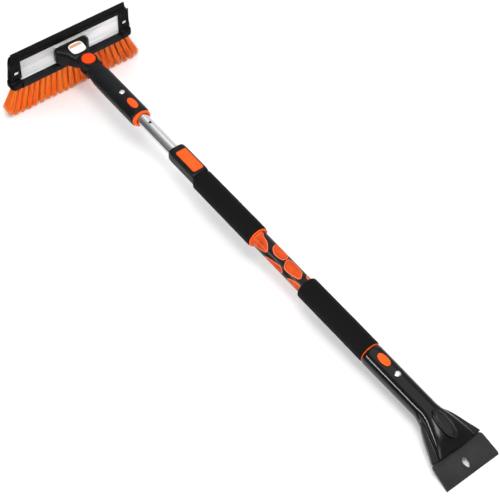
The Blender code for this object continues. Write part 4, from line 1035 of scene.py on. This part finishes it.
body = add("scraper_body", loft(rings), BLACK_GLOSS, sharp=36, bevel=0.3)
nx, nz = math.sin(BLADE_SLOPE), math.cos(BLADE_SLOPE)
dx, dz = math.cos(BLADE_SLOPE), -math.sin(BLADE_SLOPE)


def on_blade(along, up):
    return (BLADE_S - along * dx + up * nx, BLADE_Z - along * dz + up * nz)


def blade_solid(outline, low, high):
    bm = bmesh.new()
    levels = [[bm.verts.new((on_blade(a, up)[0], y, on_blade(a, up)[1])) for a, y in outline] for up in (low, high)]
    n = len(outline)
    for i in range(n):
        j = (i + 1) % n
        bm.faces.new((levels[0][i], levels[0][j], levels[1][j], levels[1][i]))
    bm.faces.new(levels[0][::-1])
    bm.faces.new(levels[1])
    bmesh.ops.recalc_face_normals(bm, faces=bm.faces)
    return bm


pocket = blade_solid([(20, -36.4), (20, 36.4), (47.0, 33.0), (47.0, -33.0)], -0.35, 3.45)
plate_room = blade_solid([(20, -47), (20, 47), (37.6, 47), (37.6, -47)], -6.0, 3.45)
pad_z, pad_tilt = 11.2, math.radians(11)
pad_hole = turned(prism(oval(801.0, 0, 22.9, 9.8, 112, 2.0), pad_z - 3.0, pad_z + 14, "Z"), pad_tilt, (801.0, 0, pad_z))
screw_hole = revolve([(0, -5.0), (2.2, -5.0), (2.2, 12.7), (4.8, 12.7), (4.8, 24), (0, 24)], 64, "Z", (SCR_SCREW_S, 0, 0))
carve(body, ("-", front), ("-", pocket), ("-", plate_room), ("-", rod(11.4, 655, 703.5, SEG, 0, "X")), ("-", prism(oval(SCR_BUTTON_S, 0, 12.0, 6.5, 84, 2.2), 11.8, 24, "Z")), ("-", screw_hole), ("-", pad_hole))

# The thumb rest: a dished oval inside a raised, rounded rim.
rings = []
for z, d in ((pad_z - 2.6, 0.0), (pad_z + 0.9, 0.0), (pad_z + 1.35, 0.12), (pad_z + 1.75, 0.45), (pad_z + 2.0, 0.95), (pad_z + 2.0, 1.35), (pad_z + 1.75, 1.8), (pad_z + 1.35, 2.1), (pad_z + 1.2, 2.6), (pad_z + 1.35, 3.4),
             (pad_z + 1.6, 4.6), (pad_z + 1.85, 6.0), (pad_z + 2.0, 7.6)):
    rings.append([(x, y, z) for x, y in oval(801.0, 0, 22.5 - d, 9.4 - d, 128, 2.0)])
add("thumb_pad", turned(loft(rings), pad_tilt, (801.0, 0, pad_z)), BLACK_GLOSS, sharp=50)
pan_screw("scraper_screw", SCR_SCREW_S, 12.9, -4.4)
add("scraper_button", crowned(SCR_BUTTON_S, 0, 11.2, 5.8, 13.0, 15.4, 0.45, 2.2, 1.0), ORANGE, sharp=45)
add("scraper_button_spring", ribbon([(677.0, 12.05), (681.0, 12.15), (685.2, 12.7), (689.4, 12.15), (693.4, 12.05)], 2.6, 0.25), SPRING, sharp=60)

blade_outline = [(0, -BLADE_W), (30.4, -42.9), (33.6, -42.3), (36.0, -40.6), (37.2, -38.0), (37.2, -33.8), (46.5, -32.6), (46.5, 32.6), (37.2, 33.8), (37.2, 38.0), (36.0, 40.6), (33.6, 42.3), (30.4, 42.9), (0, BLADE_W)]
blade = add("scraper_blade", blade_solid(blade_outline, 0.0, 3.1), BLADE, sharp=20)
grind = prism([on_blade(*p) for p in ((-2, -0.3), (5.5, 4.2), (5.5, 9), (-2, 9))], -50, 50, "Y")
hole = []
for k in range(72):
    a = 2 * math.pi * k / 72
    c, s_ = math.cos(a), math.sin(a)
    hole.append((15.8 + 7.2 * c, (4.7 + 0.8 * c) * s_))
carve(blade, ("-", grind), ("-", blade_solid(hole, -4, 8)))

# ------------------------------------------------------------------ finish every piece
settle()
for spring, joint, foot, keep in (("pivot_spring", "pivot_button_press", (0, 0, 4.2), 0.24), ("lock_spring", "lock_lever_rock", (276.5, 0, 11.9), 0.55),
                                  ("neck_snap_spring", "neck_button_press", (118.0, 0, -7.2), 0.9)):
    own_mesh(PIECES["look_" + spring][0])

# ------------------------------------------------------------------ studio
SCENE = bpy.context.scene
world = bpy.data.worlds.new("studio") if SCENE.world is None else SCENE.world
SCENE.world = world
world.use_nodes = True
tree = world.node_tree
sky = tree.nodes["Background"]
sky.inputs["Strength"].default_value = 1.0
where_to = tree.nodes.new("ShaderNodeTexCoord")
parts = tree.nodes.new("ShaderNodeSeparateXYZ")
tree.links.new(where_to.outputs["Generated"], parts.inputs[0])
lean = tree.nodes.new("ShaderNodeMath")
lean.operation = "MULTIPLY_ADD"
tree.links.new(parts.outputs["Y"], lean.inputs[0])
lean.inputs[1].default_value = 0.75
tree.links.new(parts.outputs["Z"], lean.inputs[2])
shift = tree.nodes.new("ShaderNodeMapRange")
shift.inputs["From Min"].default_value, shift.inputs["From Max"].default_value = -1.0, 1.25
tree.links.new(lean.outputs[0], shift.inputs["Value"])
bands = tree.nodes.new("ShaderNodeValToRGB")
for pos, v in ((0.0, 0.12), (0.3, 0.07), (0.48, 0.06), (0.57, 0.42), (0.8, 0.42)):
    stop = bands.color_ramp.elements[0] if pos == 0.0 else bands.color_ramp.elements.new(pos)
    stop.position, stop.color = pos, (v, v, v, 1)
bands.color_ramp.elements[-1].color = (0.55, 0.55, 0.55, 1)
tree.links.new(shift.outputs["Result"], bands.inputs[0])
tree.links.new(bands.outputs[0], sky.inputs["Color"])

floor_mesh = bpy.data.meshes.new("studio_floor")
floor_mesh.from_pydata([(-9, -9, 0), (9, -9, 0), (9, 9, 0), (-9, 9, 0)], [], [(0, 1, 2, 3)])
floor = bpy.data.objects.new("studio_floor", floor_mesh)
SCENE.collection.objects.link(floor)
floor.location.z = -0.0004
pale = bpy.data.materials.new("studio_floor")
pale.use_nodes = True
shader = pale.node_tree.nodes["Principled BSDF"]
shader.inputs["Base Color"].default_value = (0.965, 0.965, 0.97, 1)
shader.inputs["Roughness"].default_value = 0.9
shader.inputs["Specular IOR Level"].default_value = 0.1
floor_mesh.materials.append(pale)

# A dark card beside the object, seen only in reflections, so that the tubes and the moulded sides get a dark edge.
card_mesh = bpy.data.meshes.new("studio_card")
card_mesh.from_pydata([(-4, -5, 0.0003), (4, -5, 0.0003), (4, -0.13, 0.0003), (-4, -0.13, 0.0003)], [], [(0, 1, 2, 3)])
card = bpy.data.objects.new("studio_card", card_mesh)
SCENE.collection.objects.link(card)
felt = bpy.data.materials.new("studio_card")
felt.use_nodes = True
felt.node_tree.nodes["Principled BSDF"].inputs["Base Color"].default_value = (0.02, 0.02, 0.02, 1)
felt.node_tree.nodes["Principled BSDF"].inputs["Roughness"].default_value = 1.0
card_mesh.materials.append(felt)
card.visible_camera = card.visible_diffuse = card.visible_shadow = card.visible_transmission = card.visible_volume_scatter = False


def lamp(name, at, aim, size, power, size_y=None):
    light = bpy.data.lights.new(name, "AREA")
    light.shape = "RECTANGLE"
    light.size, light.size_y = size, size_y or size
    light.energy = power
    obj = bpy.data.objects.new(name, light)
    SCENE.collection.objects.link(obj)
    obj.location = at
    obj.rotation_euler = (Vector(aim) - Vector(at)).to_track_quat("-Z", "Y").to_euler()
    return obj


lamp("key", (0.5, -0.42, 2.2), (0, 0, 0), 0.8, 22)
lamp("overhead", (-0.2, 0.5, 2.6), (0, 0, 0), 3.2, 34)
strip = lamp("strip", (-0.28, -1.41, 0.68), (0.33, 0, 0.05), 0.7, 16, 0.2)
reflector = lamp("reflector", (-1.8, 2.0, 0.9), (-0.1, 0, 0.1), 2.2, 6.5, 1.5)
strip.visible_diffuse = reflector.visible_diffuse = False
strip.visible_camera = reflector.visible_camera = False
lamp("fill", (1.5, -1.8, 1.3), (-0.35, 0, 0), 1.8, 40)

lens = bpy.data.cameras.new("camera")
lens.sensor_fit, lens.sensor_width, lens.lens = "HORIZONTAL", 36.0, 95.10
lens.clip_start, lens.clip_end = 0.05, 60
camera = bpy.data.objects.new("camera", lens)
SCENE.collection.objects.link(camera)
az, el, roll, reach = math.radians(51.96), math.radians(49.21), math.radians(0.04), 1.90216
target = Vector((-0.00019, 0.00864, 0.0))
back = Vector((math.sin(az) * math.cos(el), -math.cos(az) * math.cos(el), math.sin(el)))
right = Vector((math.cos(az), math.sin(az), 0))
up = back.cross(right)
right, up = right * math.cos(roll) + up * math.sin(roll), up * math.cos(roll) - right * math.sin(roll)
at = target + back * reach
camera.matrix_world = Matrix(((right.x, up.x, back.x, at.x), (right.y, up.y, back.y, at.y), (right.z, up.z, back.z, at.z), (0, 0, 0, 1)))
SCENE.camera = camera
SCENE.view_settings.view_transform = "Standard"
SCENE.view_settings.look = "None"
